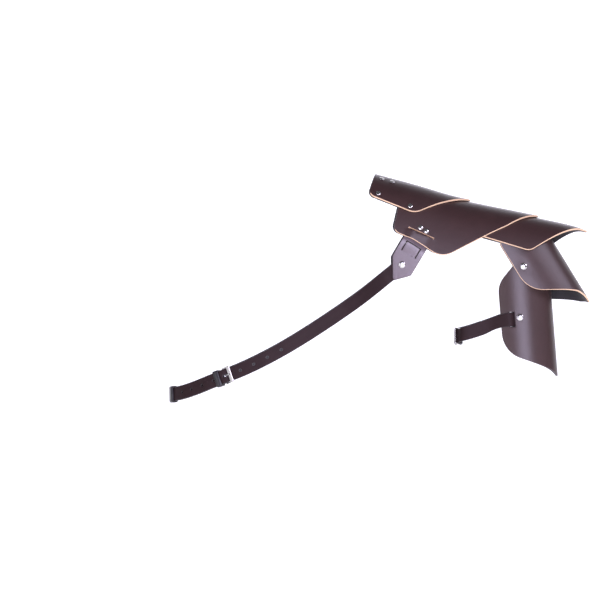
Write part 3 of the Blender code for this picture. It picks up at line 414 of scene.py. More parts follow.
def flat_blank(name, rings, thick, edge_round):
    """A flat blank with its holes, rounded all round the cut: the first ring is its outline."""
    curve = bpy.data.curves.new(name, "CURVE")
    curve.dimensions = "2D"
    curve.fill_mode = "BOTH"
    curve.extrude = thick / 2 - edge_round
    curve.bevel_depth = edge_round
    curve.bevel_resolution = 1
    curve.offset = -edge_round
    for ring in rings:
        spline = curve.splines.new("POLY")
        spline.points.add(len(ring) - 1)
        for dot, spot in zip(spline.points, ring):
            dot.co = (spot[0], spot[1], 0, 1)
        spline.use_cyclic_u = True
    guide = link(bpy.data.objects.new(name, curve))
    bpy.context.view_layer.update()
    data = bpy.data.meshes.new_from_object(guide.evaluated_get(bpy.context.evaluated_depsgraph_get()))
    bpy.data.objects.remove(guide)
    bpy.data.curves.remove(curve)
    bm = bmesh.new()
    bm.from_mesh(data)
    bpy.data.meshes.remove(data)
    bmesh.ops.remove_doubles(bm, verts=bm.verts, dist=MERGE)
    bmesh.ops.recalc_face_normals(bm, faces=bm.faces)
    bm.normal_update()
    return bm


def every(low, high, size):
    """Multiples of size strictly between low and high."""
    return [k * size for k in range(math.floor(low / size) + 1, math.ceil(high / size))]


def from_bmesh(name, bm, skins):
    """An object from a finished mesh, with its materials in order."""
    data = bpy.data.meshes.new(name)
    bm.to_mesh(data)
    bm.free()
    for skin in skins:
        data.materials.append(skin)
    return link(bpy.data.objects.new(name, data))


def even_shading(obj):
    """Shades by the large faces, so that the narrow ones at a rounded edge don't darken them."""
    weighted = obj.modifiers.new("even_shading", "WEIGHTED_NORMAL")
    weighted.weight = 80
    return obj


def cut_leather(name, rings, thick, cuts_along, cuts_across, surface, skins):
    """Cuts a blank, scores it into cells, bends it, and gives it its grain side, flesh side and edge."""
    bm = flat_blank(name, rings, thick, EDGE_ROUND)
    inner = [
        e for e in bm.edges
        if len(e.link_faces) == 2 and all(abs(f.normal.z) > FLAT for f in e.link_faces)
        and e.link_faces[0].normal.dot(e.link_faces[1].normal) > FLAT
    ]
    bmesh.ops.dissolve_limit(bm, angle_limit=0.001, verts=[], edges=inner)
    for axis, places in ((Vector((1, 0, 0)), cuts_along), (Vector((0, 1, 0)), cuts_across)):
        for spot in places:
            geometry = bm.verts[:] + bm.edges[:] + bm.faces[:]
            bmesh.ops.bisect_plane(bm, geom=geometry, dist=MERGE / 2, plane_co=axis * spot, plane_no=axis)
    bm.normal_update()
    for face in bm.faces:
        up = face.normal.z
        towards = Vector((face.normal.x, face.normal.y)).normalized()
        edge = 3 if len(skins) > 3 and towards.x < NECK_SIDE else 2
        face.material_index = 0 if up > GRAIN_UP else 1 if up < FLESH_UP else edge
        face.smooth = True
    bmesh.ops.triangulate(bm, faces=[f for f in bm.faces if len(f.verts) > 4])
    for vertex in bm.verts:
        vertex.co = surface(vertex.co.x, vertex.co.y, vertex.co.z)
    if bm.calc_volume(signed=True) < 0:
        bmesh.ops.reverse_faces(bm, faces=bm.faces)
    return even_shading(from_bmesh(name, bm, skins))


def wear(obj, node):
    """The piece stands for its solid, which it hides, and rides on the part."""
    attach(obj, "root")
    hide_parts(node)
    return obj


def plate(node, surface, layer, front, back, start, length, reach, holes, skins):
    """A plate pierced alike front and back, bent over a surface at a layer above or below the main plate."""
    ring = whole_outline(front, back, start, length, reach)
    both_sides = holes + [[Vector((p.x, -p.y)) for p in hole] for hole in holes]
    lift = layer * (PLATE_THICK + GAP)
    low = min(p.x for p in ring)
    high = max(p.x for p in ring)
    obj = cut_leather(
        node + "_leather", [ring] + both_sides, PLATE_THICK, every(low, high, CELL_ALONG),
        every(-reach, reach, CELL_ROUND), lambda x, y, z: surface(x, y, z + lift), skins,
    )
    return wear(obj, node)


# Each set of finishes: grain side, flesh side, cut edge, and for a plate the edge towards the neck
tan_edged = (waxed_leather, flesh_leather, raw_edge, dyed_edge)
dark_edged = (waxed_leather, flesh_leather, dyed_edge)
joined = [circle(JOIN_RIVET, POST_HOLE_R)]
neck_holes = [circle(at, POST_HOLE_R) for at in NECK_RIVETS]
plate(
    "neck_plate", shoulder, 1, NECK_OUTLINE, shorter(NECK_OUTLINE, NECK_BEHIND), NECK_START, NECK_LENGTH,
    NECK_REACH, neck_holes + joined, tan_edged,
)


# The main plate: the same leather, the largest piece, over the top of the shoulder. A slit is cut near its
# lower corner, front and back, and the strip below the slit stands a little proud where the hanger passes
# behind it.
MAIN_START = -0.062
MAIN_LENGTH = 0.176
MAIN_REACH = 0.1085
MAIN_BEHIND = 0.975
MAIN_OUTLINE = (
    (0.009, 0.860, 0.009), (0.153, 0.895, 0.030), (0.364, 1, 0.024), (0.750, 0.460, 0.050), (1, 0, 0.012),
)
SLIT_FROM = (-0.0432, 0.0843)
SLIT_TO = (-0.0122, 0.0887)
SLIT_WIDTH = 0.0010
STRIP_RISE = 0.0032
STRIP_DEPTH = 0.013
STRIP_FLATTEN = 0.35
STRIP_END_PLAY = 0.001
STRIP_END_RUN = 0.005
STRIP_TOP = 0.0003
STRIP_STEP = 0.0006
HANGER_AT = (-0.0263, 0.0812)
HANGER_LEAN = math.radians(17.2)
HEAD_RIVET_PITCH = 0.0076


def bar_outline(start, end, width, radius_share=0.49):
    """A straight slot between two points, its corners rounded by a share of its width."""
    start = Vector(start)
    end = Vector(end)
    side = (end - start).normalized().orthogonal() * width / 2
    radius = radius_share * width
    corners = (start + side, start - side, end - side, end + side)
    return rounded([(corner.x, corner.y, radius) for corner in corners])


def main_surface(along, round_by, lift):
    """The shoulder's form, with the strip below each slit pressed outwards."""
    slit = Vector(SLIT_TO) - Vector(SLIT_FROM)
    away = Vector((along, abs(round_by))) - Vector(SLIT_FROM)
    run = away.dot(slit.normalized())
    below = -away.cross(slit.normalized())
    ends = ease((run + STRIP_END_PLAY) / STRIP_END_RUN)
    ends *= ease((slit.length + STRIP_END_PLAY - run) / STRIP_END_RUN)
    depth = ease((below - STRIP_TOP) / STRIP_STEP) * (1 - STRIP_FLATTEN * ease(below / STRIP_DEPTH))
    return shoulder(along, round_by, lift + STRIP_RISE * ends * depth)


def hanger_to_shoulder(across, down):
    """The hanger's own flat axes, leaning with the main plate's corner, as places over the shoulder."""
    along = HANGER_AT[0] + across * math.cos(HANGER_LEAN) - down * math.sin(HANGER_LEAN)
    round_by = HANGER_AT[1] + across * math.sin(HANGER_LEAN) + down * math.cos(HANGER_LEAN)
    return along, round_by


head_rivets = [hanger_to_shoulder(side * HEAD_RIVET_PITCH / 2, 0) for side in (-1, 1)]
head_holes = [circle(at, POST_HOLE_R) for at in head_rivets]
slit_ring = bar_outline(SLIT_FROM, SLIT_TO, SLIT_WIDTH)
plate(
    "main_plate", main_surface, 0, MAIN_OUTLINE, shorter(MAIN_OUTLINE, MAIN_BEHIND), MAIN_START, MAIN_LENGTH,
    MAIN_REACH, joined + head_holes + [slit_ring], tan_edged,
)


# The outer plate: the same leather again, tucked under the main plate and carried on to a point past the
# shoulder.
OUTER_START = 0.014
OUTER_LENGTH = 0.160
OUTER_REACH = 0.0768
OUTER_OUTLINE = ((0, 0.873, 0.008), (0.551, 1, 0.012), (1, 0, 0.007))
OUTER_BACK = ((0, 0.873, 0.008), (0.660, 0.985, 0.012))
plate(
    "outer_plate", shoulder, -1, OUTER_OUTLINE, OUTER_BACK, OUTER_START, OUTER_LENGTH, OUTER_REACH, [],
    tan_edged,
)


# The upper arm plate: a half tube with a pointed end, riveted to the cuff at the elbow side so that it can
# swing. It hides its top under the outer plate.
UPPER_PIVOT = (0.0678, 0.0415)
UPPER_LEAN = math.radians(31.5)
UPPER_REACH = 0.087
UPPER_TURN = math.radians(92)
UPPER_FADE = 0.8
UPPER_START = 0.072
UPPER_LENGTH = 0.132
UPPER_OUTLINE = (
    (0.160, 0, 0), (0.150, 0.690, 0.020), (0, 0.989, 0.006), (0.570, 0.989, 0.034), (0.830, 0.300, 0.030),
    (1, 0, 0.010),
)
UPPER_BACK = ((0.150, 0.690, 0.020), (0, 0.950, 0.006), (0.675, 0.950, 0.034), (0.945, 0.300, 0.030))
ELBOW_RIVET_AT = (0.1194, 0.0755)
DIMPLE_REACH = 0.011
DIMPLE_DEPTH = 0.0007


def tube(pivot, lean, fold):
    """A bent sheet down the outside of the arm, along a leaning centre line."""
    start = Vector((pivot[0], 0, pivot[1]))
    axis = Vector((math.sin(lean), 0, -math.cos(lean)))
    outward = Vector((math.cos(lean), 0, math.sin(lean)))

    def sheet(along, round_by):
        side, drop = fold.at(round_by, 0)
        return spread(start + axis * along - outward * drop + Vector((0, -side, 0)))

    def at(along, round_by, lift=0.0):
        return lifted(sheet, along, round_by, lift)

    def locate(point):
        away = gathered(point) - start
        return away.dot(axis), fold.length_at_drop(-away.dot(outward))

    return at, locate


def dimpled(surface, spot, reach, depth):
    """The same sheet, drawn in a little round a rivet, front and back."""

    def at(along, round_by, lift=0.0):
        away = math.hypot(along - spot[0], abs(round_by) - spot[1])
        return surface(along, round_by, lift - depth * hump(away, reach))

    return at


upper_arm, locate_on_upper = tube(UPPER_PIVOT, UPPER_LEAN, Fold(UPPER_REACH, UPPER_TURN, UPPER_FADE))
plate(
    "upper_arm_plate", dimpled(upper_arm, ELBOW_RIVET_AT, DIMPLE_REACH, DIMPLE_DEPTH), 0, UPPER_OUTLINE,
    UPPER_BACK, UPPER_START, UPPER_LENGTH, UPPER_REACH, [circle(ELBOW_RIVET_AT, POST_HOLE_R)], tan_edged,
)


# The cuff: a longer half tube round the outside of the arm, in the same leather but with its edge dyed. The
# arm strap goes in through a slot near each front corner and is riveted behind it.
LOWER_PIVOT = (0.1259, -0.130)
LOWER_LEAN = math.radians(4.5)
LOWER_REACH = 0.0908
LOWER_TURN = math.radians(125)
LOWER_FADE = 0.25
LOWER_BEHIND = 0.955
LOWER_START = -0.058
LOWER_LENGTH = 0.155
LOWER_OUTLINE = ((0, 0.660, 0.012), (0.210, 1, 0.028), (0.743, 1, 0.034), (1, 0, 0.030))
SLOT_LENGTH = 0.0185
SLOT_WIDTH = 0.0066
SLOT_CORNER_SHARE = 0.15
SLOT_AT = (0.0185, 0.0762)
ARM_RIVET_AT = (0.0165, 0.0668)
lower_arm, locate_on_lower = tube(LOWER_PIVOT, LOWER_LEAN, Fold(LOWER_REACH, LOWER_TURN, LOWER_FADE))
slot_ring = bar_outline(
    (SLOT_AT[0] - SLOT_LENGTH / 2, SLOT_AT[1]), (SLOT_AT[0] + SLOT_LENGTH / 2, SLOT_AT[1]), SLOT_WIDTH,
    SLOT_CORNER_SHARE,
)
plate(
    "lower_arm_plate", dimpled(lower_arm, ARM_RIVET_AT, DIMPLE_REACH, DIMPLE_DEPTH / 2), 0, LOWER_OUTLINE,
    shorter(LOWER_OUTLINE, LOWER_BEHIND), LOWER_START, LOWER_LENGTH, LOWER_REACH,
    [circle(ARM_RIVET_AT, POST_HOLE_R), slot_ring], dark_edged,
)


# The hangers: pointed tabs of the same leather behind the main plate, front and back, held by two small
# rivets above the slit. A tongue is cut in each, and the chest strap is riveted near its point.
HANGER_WIDTH = 0.030
HANGER_LENGTH = 0.071
HANGER_HEAD = 0.008
HANGER_NEAR_SHOULDER = 0.046
HANGER_FAR_SHOULDER = 0.055
HANGER_RIVET = 0.0495
HANGER_RISE = -0.40
HANGER_EASE = 0.006
TONGUE_WIDTH = 0.0174
TONGUE_TOP = 0.0228
TONGUE_LENGTH = 0.0122
TONGUE_CUT = 0.0007
TONGUE_RISE = 0.0009

# Hanger leather: the same hide as the plates, its colour painted paler and more lilac as a painted sheen for
# the light the hangers catch, and its shine set higher, so it shines more than the plates
hanger_leather = leather_material("hanger_leather_painted_sheen", "44343A", "54424A", 0.36, 0.2, 0.8)
hanger_skins = (hanger_leather, flesh_leather, dyed_edge)


def hanger_surface(across, down, lift):
    """Behind the main plate at the head, then leaning back on to the chest below the edge."""
    past = max(down - TONGUE_TOP, 0)
    forward = HANGER_RISE * past * past / (past + HANGER_EASE)
    tilt = math.atan(HANGER_RISE * past * (past + 2 * HANGER_EASE) / (past + HANGER_EASE) ** 2)
    if abs(across) < TONGUE_WIDTH / 2 + TONGUE_CUT / 2 and TONGUE_TOP <= down <= TONGUE_TOP + TONGUE_LENGTH:
        forward += TONGUE_RISE * (1 - (down - TONGUE_TOP) / TONGUE_LENGTH)
    along, round_by = hanger_to_shoulder(across, down - lift * math.sin(tilt))
    return shoulder(along, round_by, lift * math.cos(tilt) + forward - PLATE_THICK - GAP)


def at_front(surface):
    """The form as it is."""
    return surface


def at_back(surface):
    """The same form at the back of the wearer."""

    def at(x, y, z=0.0):
        point = surface(x, y, z)
        return Vector((point.x, -point.y, point.z))

    return at


SIDES = (("front", at_front), ("back", at_back))
for side_name, side in SIDES:
    half = HANGER_WIDTH / 2
    tab = rounded([
        (-half, -HANGER_HEAD, 0.004), (half, -HANGER_HEAD, 0.004), (half, HANGER_FAR_SHOULDER, 0.004),
        (0, HANGER_LENGTH, 0.003), (-half, HANGER_NEAR_SHOULDER, 0.004),
    ])
    inner = TONGUE_WIDTH / 2
    outer = inner + TONGUE_CUT
    top = TONGUE_TOP - TONGUE_CUT
    foot = TONGUE_TOP + TONGUE_LENGTH
    tongue_cut = [Vector(p) for p in (
        (-outer, top), (outer, top), (outer, foot), (inner, foot),
        (inner, TONGUE_TOP), (-inner, TONGUE_TOP), (-inner, foot), (-outer, foot),
    )]
    tab_holes = [circle((s * HEAD_RIVET_PITCH / 2, 0), POST_HOLE_R) for s in (-1, 1)]
    tab_holes += [circle((0, HANGER_RIVET), POST_HOLE_R), tongue_cut]
    hanger = cut_leather(
        f"{side_name}_hanger_leather", [tab] + tab_holes, PLATE_THICK, every(-half, half, CELL_ALONG),
        every(-HANGER_HEAD, HANGER_LENGTH, CELL_ROUND), side(hanger_surface), hanger_skins,
    )
    wear(hanger, f"{side_name}_hanger")


# The rivets: nickel-plated brass, pressed from the front with a domed cap, closed by a washer-like disc
# behind. Small ones hold the shoulder plates and large ones the arm plates and strap ends.
SMALL_CAP_R = 0.0031
LARGE_CAP_R = 0.0043
CAP_SHARE = 0.36
DOME_FOOT = 0.25
DOME_STEPS = 6
RIVET_FIT = 0.0003
POST_R = 0.0014
DISC_SHARE = 0.80
DISC_THICK = 0.0008
RIVET_SIDES = 40
STRAP_THICK = 0.0016
NICKEL = "C9C6C4"
HAZE_MM = 3.0

# Shares: the cap's rim (of its radius, of its height), and the disc (of its radius, of its thickness)
CAP_RIM = ((0.97, 0.06), (0.90, 0))
DISC_PROFILE = ((1, 0), (1, 0.6), (0.85, 1), (0.45, 1), (0.35, 0.4), (0, 0.4))


def metal_material(name, colour, roughness, wear_share):
    """Plated metal: even colour, with a faint unevenness of polish."""
    material, tree, shader = new_material(name)
    where = add_node(tree, "ShaderNodeTexCoord").outputs["Object"]
    haze = add_node(
        tree, "ShaderNodeTexNoise", values={"Scale": 1000 / HAZE_MM, "Detail": 3.0}, links={"Vector": where},
    )
    polish = add_node(
        tree, "ShaderNodeMapRange", values={"To Min": roughness, "To Max": roughness + wear_share},
        links={"Value": haze.outputs["Fac"]},
    )
    tree.links.new(polish.outputs["Result"], shader.inputs["Roughness"])
    shader.inputs["Base Color"].default_value = linear_colour(colour)
    shader.inputs["Metallic"].default_value = 1.0
    return material


# Bright nickel plate: hard, clear reflections that go from white to nearly black across a small dome
bright_nickel = metal_material("polished_nickel_plate", NICKEL, 0.14, 0.10)


def normal_at(surface, along, round_by, lift=0.0):
    """The point on a surface and its outward normal."""
    point = surface(along, round_by, lift)
    run = surface(along + PROBE, round_by, lift) - surface(along - PROBE, round_by, lift)
    turn = surface(along, round_by + PROBE, lift) - surface(along, round_by - PROBE, lift)
    out = run.cross(turn).normalized()
    if out.dot(surface(along, round_by, lift + PROBE) - point) < 0:
        out = -out
    return point, out


def place(point, out, along=Vector((1, 0, 0))):
    """A matrix with +Z along out and +X as near to along as it can be."""
    z = out.normalized()
    x = (along - z * along.dot(z)).normalized()
    y = z.cross(x)
    return Matrix((
        (x.x, y.x, z.x, point.x),
        (x.y, y.y, z.y, point.y),
        (x.z, y.z, z.z, point.z),
        (0, 0, 0, 1),
    ))


def creased(name, bm, skin, degrees):
    """A closed piece, smooth but where it turns more sharply than an angle."""
    bmesh.ops.recalc_face_normals(bm, faces=bm.faces)
    obj = from_bmesh(name, bm, [skin])
    obj.data.shade_smooth()
    obj.data.set_sharp_from_angle(angle=math.radians(degrees))
    return obj


def turned(name, profile, matrix, skin, sides=RIVET_SIDES):
    """A closed round piece from its half profile, top to bottom."""
    bm = bmesh.new()
    rows = []
    for radius, height in profile:
        if radius == 0:
            rows.append([bm.verts.new(matrix @ Vector((0, 0, height)))])
            continue
        turns = [2 * math.pi * k / sides for k in range(sides)]
        rows.append([
            bm.verts.new(matrix @ Vector((radius * math.cos(t), radius * math.sin(t), height))) for t in turns
        ])
    for a, b in zip(rows, rows[1:]):
        for k in range(sides):
            j = (k + 1) % sides
            ring = [a[k % len(a)], b[k % len(b)], b[j % len(b)], a[j % len(a)]]
            bm.faces.new(list(dict.fromkeys(ring)))
    return creased(name, bm, skin, 50)


def rivet(node, point, out, cap_r, grip):
    """Domed cap with a rolled rim, post, and the disc that closes it behind the leather."""
    height = cap_r * CAP_SHARE
    disc_r = DISC_SHARE * cap_r
    bottom = -grip - 2 * RIVET_FIT
    profile = [(0, height)]
    for k in range(1, DOME_STEPS + 1):
        turn = math.pi / 2 * k / DOME_STEPS
        profile.append((cap_r * math.sin(turn), height * (DOME_FOOT + (1 - DOME_FOOT) * math.cos(turn))))
    profile += [(radius * cap_r, rise * height) for radius, rise in CAP_RIM]
    profile += [(POST_R, 0), (POST_R, bottom)]
    profile += [(radius * disc_r, bottom - depth * DISC_THICK) for radius, depth in DISC_PROFILE]
    obj = turned(node + "_cap", profile, place(point + out * RIVET_FIT, out), bright_nickel)
    return wear(obj, node)


def depth_to(point, out, surface, locate):
    """How far inward from a point a post meets a deeper sheet."""
    depth = 0.0
    for _ in range(6):
        depth = (point - surface(*locate(point - out * depth))).dot(out)
    return depth


elbow_point, elbow_out = normal_at(upper_arm, *ELBOW_RIVET_AT, PLATE_THICK / 2)
elbow_depth = depth_to(elbow_point, elbow_out, lower_arm, locate_on_lower)
elbow_grip = elbow_depth + PLATE_THICK / 2 + GAP - DIMPLE_DEPTH
for side_name, side in SIDES:
    name = f"{side_name}_rivet"
    for k, at in enumerate(NECK_RIVETS, 1):
        point, out = normal_at(side(shoulder), *at, PLATE_THICK + GAP + PLATE_THICK / 2)
        rivet(f"{name}_neck_{k}", point, out, SMALL_CAP_R, PLATE_THICK)
    point, out = normal_at(side(shoulder), *JOIN_RIVET, PLATE_THICK + GAP + PLATE_THICK / 2)
    rivet(f"{name}_neck_4", point, out, SMALL_CAP_R, 2 * PLATE_THICK + 2 * GAP + STRAP_THICK)
    for k, at in enumerate(head_rivets, 1):
        point, out = normal_at(side(shoulder), *at, PLATE_THICK / 2)
        rivet(f"{name}_hanger_head_{k}", point, out, SMALL_CAP_R, 2 * PLATE_THICK + GAP)
    point, out = normal_at(side(upper_arm), *ELBOW_RIVET_AT, PLATE_THICK / 2)
    rivet(f"{name}_elbow", point - out * DIMPLE_DEPTH, out, LARGE_CAP_R, elbow_grip)
    point, out = normal_at(side(lower_arm), *ARM_RIVET_AT, PLATE_THICK / 2)
    rivet(f"{name}_arm_strap", point, out, LARGE_CAP_R, PLATE_THICK + GAP + STRAP_THICK)
    point, out = normal_at(side(hanger_surface), 0, HANGER_RIVET, PLATE_THICK / 2)
    rivet(f"{name}_hanger_strap", point, out, LARGE_CAP_R, PLATE_THICK + GAP + STRAP_THICK)


# The lame straps: two thin straps inside, front and back, that join the neck, main and outer plates to the
# arm plate so that they spread like a fan. Each turns on flat-headed pins.
LAME_STRAP_WIDTH = 0.012
LAME_STRAP_END = (0.0870, 0.0570)
LAME_PIN_SHARE = 0.64
LAME_STEP_BEFORE = 0.010
LAME_STEP_START = 0.006
LAME_STEP_END = 0.002
PIN_R = 0.0020
PIN_FIT = 0.0004
END_SHARE = 0.42
STRAP_CELL = 0.0022
STRAP_DYE = "241819"
STRAP_WORN = "2F2122"

# A pin's head and foot: share of its radius, and height from the head's top or the foot
PIN_HEAD = ((0, 0), (0.85, 0), (1, -0.0003))
PIN_FOOT = ((1, 0.0007), (1.35, 0.0005), (1.35, 0), (1.1, -0.0003), (0, -0.0004))

# Strap leather: dyed darker than the plates and left nearly matt, so it stays dark under the lamps
strap_leather = leather_material("waxed_strap_leather", STRAP_DYE, STRAP_WORN, 0.58, 0.2, 0.12)
# Burnished strap edge: dark and a little shiny
strap_edge = fibre_material("burnished_strap_edge", "2E2526", "1A1516", 0.6, 0.45)
strap_skins = (strap_leather, flesh_leather, strap_edge)


def softened(profile, size=0.003):
    """Rows of (along, lift), with their corners cut twice as leather rounds them."""
    rows = [Vector(profile[0])]
    for row in profile[1:]:
        end = Vector(row)
        start = rows[-1]
        count = max(1, math.ceil((end - start).length / size))
        rows += [start.lerp(end, k / count) for k in range(1, count + 1)]
    for _ in range(2):
        cut = [rows[0]]
        for a, b in zip(rows, rows[1:]):
            cut += [a.lerp(b, 0.25), a.lerp(b, 0.75)]
        rows = cut + [rows[-1]]
    return rows


def along_strip(rows, along):
    """How far along a strap a place on its loop lies, for punching a hole there."""
    total = 0.0
    for a, b in zip(rows, rows[1:]):
        if a.x != b.x and min(a.x, b.x) <= along <= max(a.x, b.x):
            return total + (b - a).length * (along - a.x) / (b.x - a.x)
        total += (b - a).length
    return total


def strap(node, rows, width, loop, holes):
    """A strap that follows rows of (along, lift) on a loop, grain side out, with round ends and its holes."""
    marks = [0.0]
    for a, b in zip(rows, rows[1:]):
        marks.append(marks[-1] + (b - a).length)
    length = marks[-1]
    corner = END_SHARE * width
    half = width / 2
    ring = rounded([(0, -half, corner), (length, -half, corner), (length, half, corner), (0, half, corner)])
    grain_out = 1 if rows[-1].x > rows[0].x else -1
    normals = []
    for k in range(len(rows)):
        direction = (rows[min(k + 1, len(rows) - 1)] - rows[max(k - 1, 0)]).normalized()
        normals.append(Vector((-direction.y, direction.x)) * grain_out)

    def at(x, y, z):
        x = min(max(x, 0), length)
        k = min(max(bisect_left(marks, x) - 1, 0), len(marks) - 2)
        part = (x - marks[k]) / max(marks[k + 1] - marks[k], 1e-9)
        normal = normals[k].lerp(normals[k + 1], part).normalized()
        spot = rows[k].lerp(rows[k + 1], part) + normal * z
        return loop(spot.x, y, spot.y)

    obj = cut_leather(
        node + "_leather", [ring] + holes, STRAP_THICK, every(0, length, STRAP_CELL), (-width / 6, width / 6),
        at, strap_skins,
    )
    return wear(obj, node)


def level_below(layer):
    """The middle of a strap that lies just inside the plate at a layer."""
    return layer * (PLATE_THICK + GAP) - PLATE_THICK / 2 - GAP - STRAP_THICK / 2


lame_start = Vector(JOIN_RIVET)
lame_line = Vector(LAME_STRAP_END) - lame_start
outer_pin = lame_start + lame_line * LAME_PIN_SHARE
tip_point, tip_out = normal_at(shoulder, *LAME_STRAP_END, level_below(-1) + STRAP_THICK / 2)
upper_pin_depth = depth_to(tip_point, tip_out, upper_arm, locate_on_upper)
for side_name, side in SIDES:
    surface = side(shoulder)
    line = lame_line.normalized()
    across_line = Vector((-line.y, line.x))
    step_down = (OUTER_START - LAME_STEP_BEFORE - lame_start.x) / line.x
    over = LAME_STRAP_WIDTH / 2
    rows = softened([
        (-over, level_below(0)), (step_down - LAME_STEP_START, level_below(0)),
        (step_down + LAME_STEP_END, level_below(-1)), (lame_line.length + over, level_below(-1)),
    ])

    def on_lame_line(x, y, z):
        """A place on the strap's straight line inside the shoulder."""
        spot = lame_start + line * x + across_line * y
        return surface(spot.x, spot.y, z)

    lame_holes = [
        circle((along_strip(rows, 0), 0), POST_R + 2 * RIVET_FIT),
        circle((along_strip(rows, lame_line.length * LAME_PIN_SHARE), 0), PIN_R + RIVET_FIT),
        circle((along_strip(rows, lame_line.length), 0), PIN_R + RIVET_FIT),
    ]
    strap(f"{side_name}_lame_strap", rows, LAME_STRAP_WIDTH, on_lame_line, lame_holes)
    point, out = normal_at(surface, *outer_pin, -GAP - PLATE_THICK / 2)
    pins = [("1", point, out, PLATE_THICK + GAP + STRAP_THICK)]
    point, out = normal_at(surface, *LAME_STRAP_END, level_below(-1) + STRAP_THICK / 2)
    pins.append(("2", point, out, upper_pin_depth + PLATE_THICK / 2))
    for number, point, out, length in pins:
        profile = [(radius * PIN_R, height) for radius, height in PIN_HEAD]
        profile += [(radius * PIN_R, height - length - PIN_FIT) for radius, height in PIN_FOOT]
        head = turned(f"{side_name}_lame_pin_{number}", profile, place(point, out), bright_nickel, 24)
        wear(head, f"{side_name}_lame_strap_pin_{number}")


# The chest strap: two lengths of 17 mm strap, one from each hanger, that run across the chest and round the
# back to a buckle near the far side of the body. The front one has the holes; its end lies under a keeper at
# the side.
STRAP_WIDTH = 0.017
TORSO_X = -0.177
TORSO_HALF_WIDTH = 0.170
TORSO_HALF_DEPTH = 0.095
LOOP_DROP = 0.1622
SETTLE_LENGTH = 0.075
SEATED_LENGTH = 0.024
CLIMB_TABLE = ((0, 0), (0.15, 0.042), (0.30, 0.142), (0.45, 0.268), (0.60, 0.435), (0.80, 0.703), (1, 1))
CHEST_PIVOT = 0.1120
CHEST_TAIL = -0.012
END_KEEPER_AT = 0.0235
HOLE_PITCH = 0.0165
HOLE_R = 0.0015
PRONG_HOLE_AT = 0.0024
PRONG_HOLE_LENGTH = 0.0056
WIRE = 0.0016
FLAP_LENGTH = 0.018
PRONG_R = 0.0008
PRONG_SLOT_LENGTH = 0.0148
PRONG_SLOT_PLAY = 0.0014
ARC_STEPS = 720

# Distances from the pivot bar at which the straps step up, fold and come down again, with the billet's lifts
# there
STEP_START = 0.030
STEP_END = 0.022
FOLD_RUN = 0.008
FOLD_LEAD = 0.003
FOLD_DIP = 0.0002
BILLET_START = 0.020
BILLET_RISE = ((0.0145, 0.0003), (0.0095, 0.0013), (0.0062, 0.0030))
BILLET_TOP = ((0.0034, -0.0008), (0.0016, 0.0001), (-0.0015, 0.0001))
BILLET_FALL = ((0.0060, 0.0015), (0.0110, 0.0002), (0.0245, 0))
BILLET_TAIL = 0.034

arc_marks = [0.0]
for k in range(ARC_STEPS):
    angle = math.pi * (k + 0.5) / ARC_STEPS
    pace = math.hypot(TORSO_HALF_WIDTH * math.sin(angle), TORSO_HALF_DEPTH * math.cos(angle))
    arc_marks.append(arc_marks[-1] + pace * math.pi / ARC_STEPS)


def oval_angle(arc):
    """The angle round the oval body at an arc's length from the far side."""
    low = min(bisect_right(arc_marks, arc) - 1, ARC_STEPS - 1)
    part = min((arc - arc_marks[low]) / (arc_marks[low + 1] - arc_marks[low]), 1)
    return math.pi * (low + part) / ARC_STEPS


hanger_point, hanger_out = normal_at(hanger_surface, 0, HANGER_RIVET, -PLATE_THICK / 2 - GAP - STRAP_THICK)
hanger_rest = gathered(hanger_point)
hanger_turn = math.acos((TORSO_X - hanger_rest.x) / TORSO_HALF_WIDTH) / math.pi * ARC_STEPS
low_mark = int(hanger_turn)
HANGER_ARC = arc_marks[low_mark] + (hanger_turn - low_mark) * (arc_marks[low_mark + 1] - arc_marks[low_mark])


def chest_base(arc):
    """The middle line of the loop on the body and its outward normal; arc runs from the side to the front."""
    angle = oval_angle(abs(arc))
    sine = math.sin(angle)
    cosine = math.cos(angle)
    height = hanger_rest.z - LOOP_DROP + LOOP_DROP * smooth(CLIMB_TABLE, abs(arc) / HANGER_ARC)
    point = Vector((TORSO_X - TORSO_HALF_WIDTH * cosine, -TORSO_HALF_DEPTH * sine, height))
    out = Vector((-TORSO_HALF_DEPTH * cosine, -TORSO_HALF_WIDTH * sine, 0)).normalized()
    return spread(point), out


end_run = chest_base(HANGER_ARC)[0] - chest_base(HANGER_ARC - 0.001)[0]
end_run = (end_run - hanger_out * end_run.dot(hanger_out)).normalized()


def chest_loop(arc, across, lift):
    """A place on the chest strap: round the loop, up across its width, and out from the body."""
    reach = abs(arc)
    settle = ease((reach - HANGER_ARC + SETTLE_LENGTH) / (SETTLE_LENGTH - SEATED_LENGTH))
    point, out = chest_base(reach)
    ahead = (chest_base(reach + 0.001)[0] - point).normalized().lerp(end_run, settle)
    point = point.lerp(hanger_point + end_run * (reach - HANGER_ARC), settle)
    out = out.lerp(hanger_out, settle).normalized()
    ahead = (ahead - out * ahead.dot(out)).normalized()
    up = out.cross(ahead)
    if up.z < 0:
        up = -up
    point = point + up * across + out * lift
    return point if arc >= 0 else Vector((point.x, -point.y, point.z))


LEVEL = STRAP_THICK / 2
SECOND = LEVEL + STRAP_THICK + RIVET_FIT
THIRD = SECOND + STRAP_THICK + RIVET_FIT
FOLD_R = 0.75 * WIRE + RIVET_FIT + STRAP_THICK / 2
PIVOT_LEVEL = LEVEL + FOLD_R


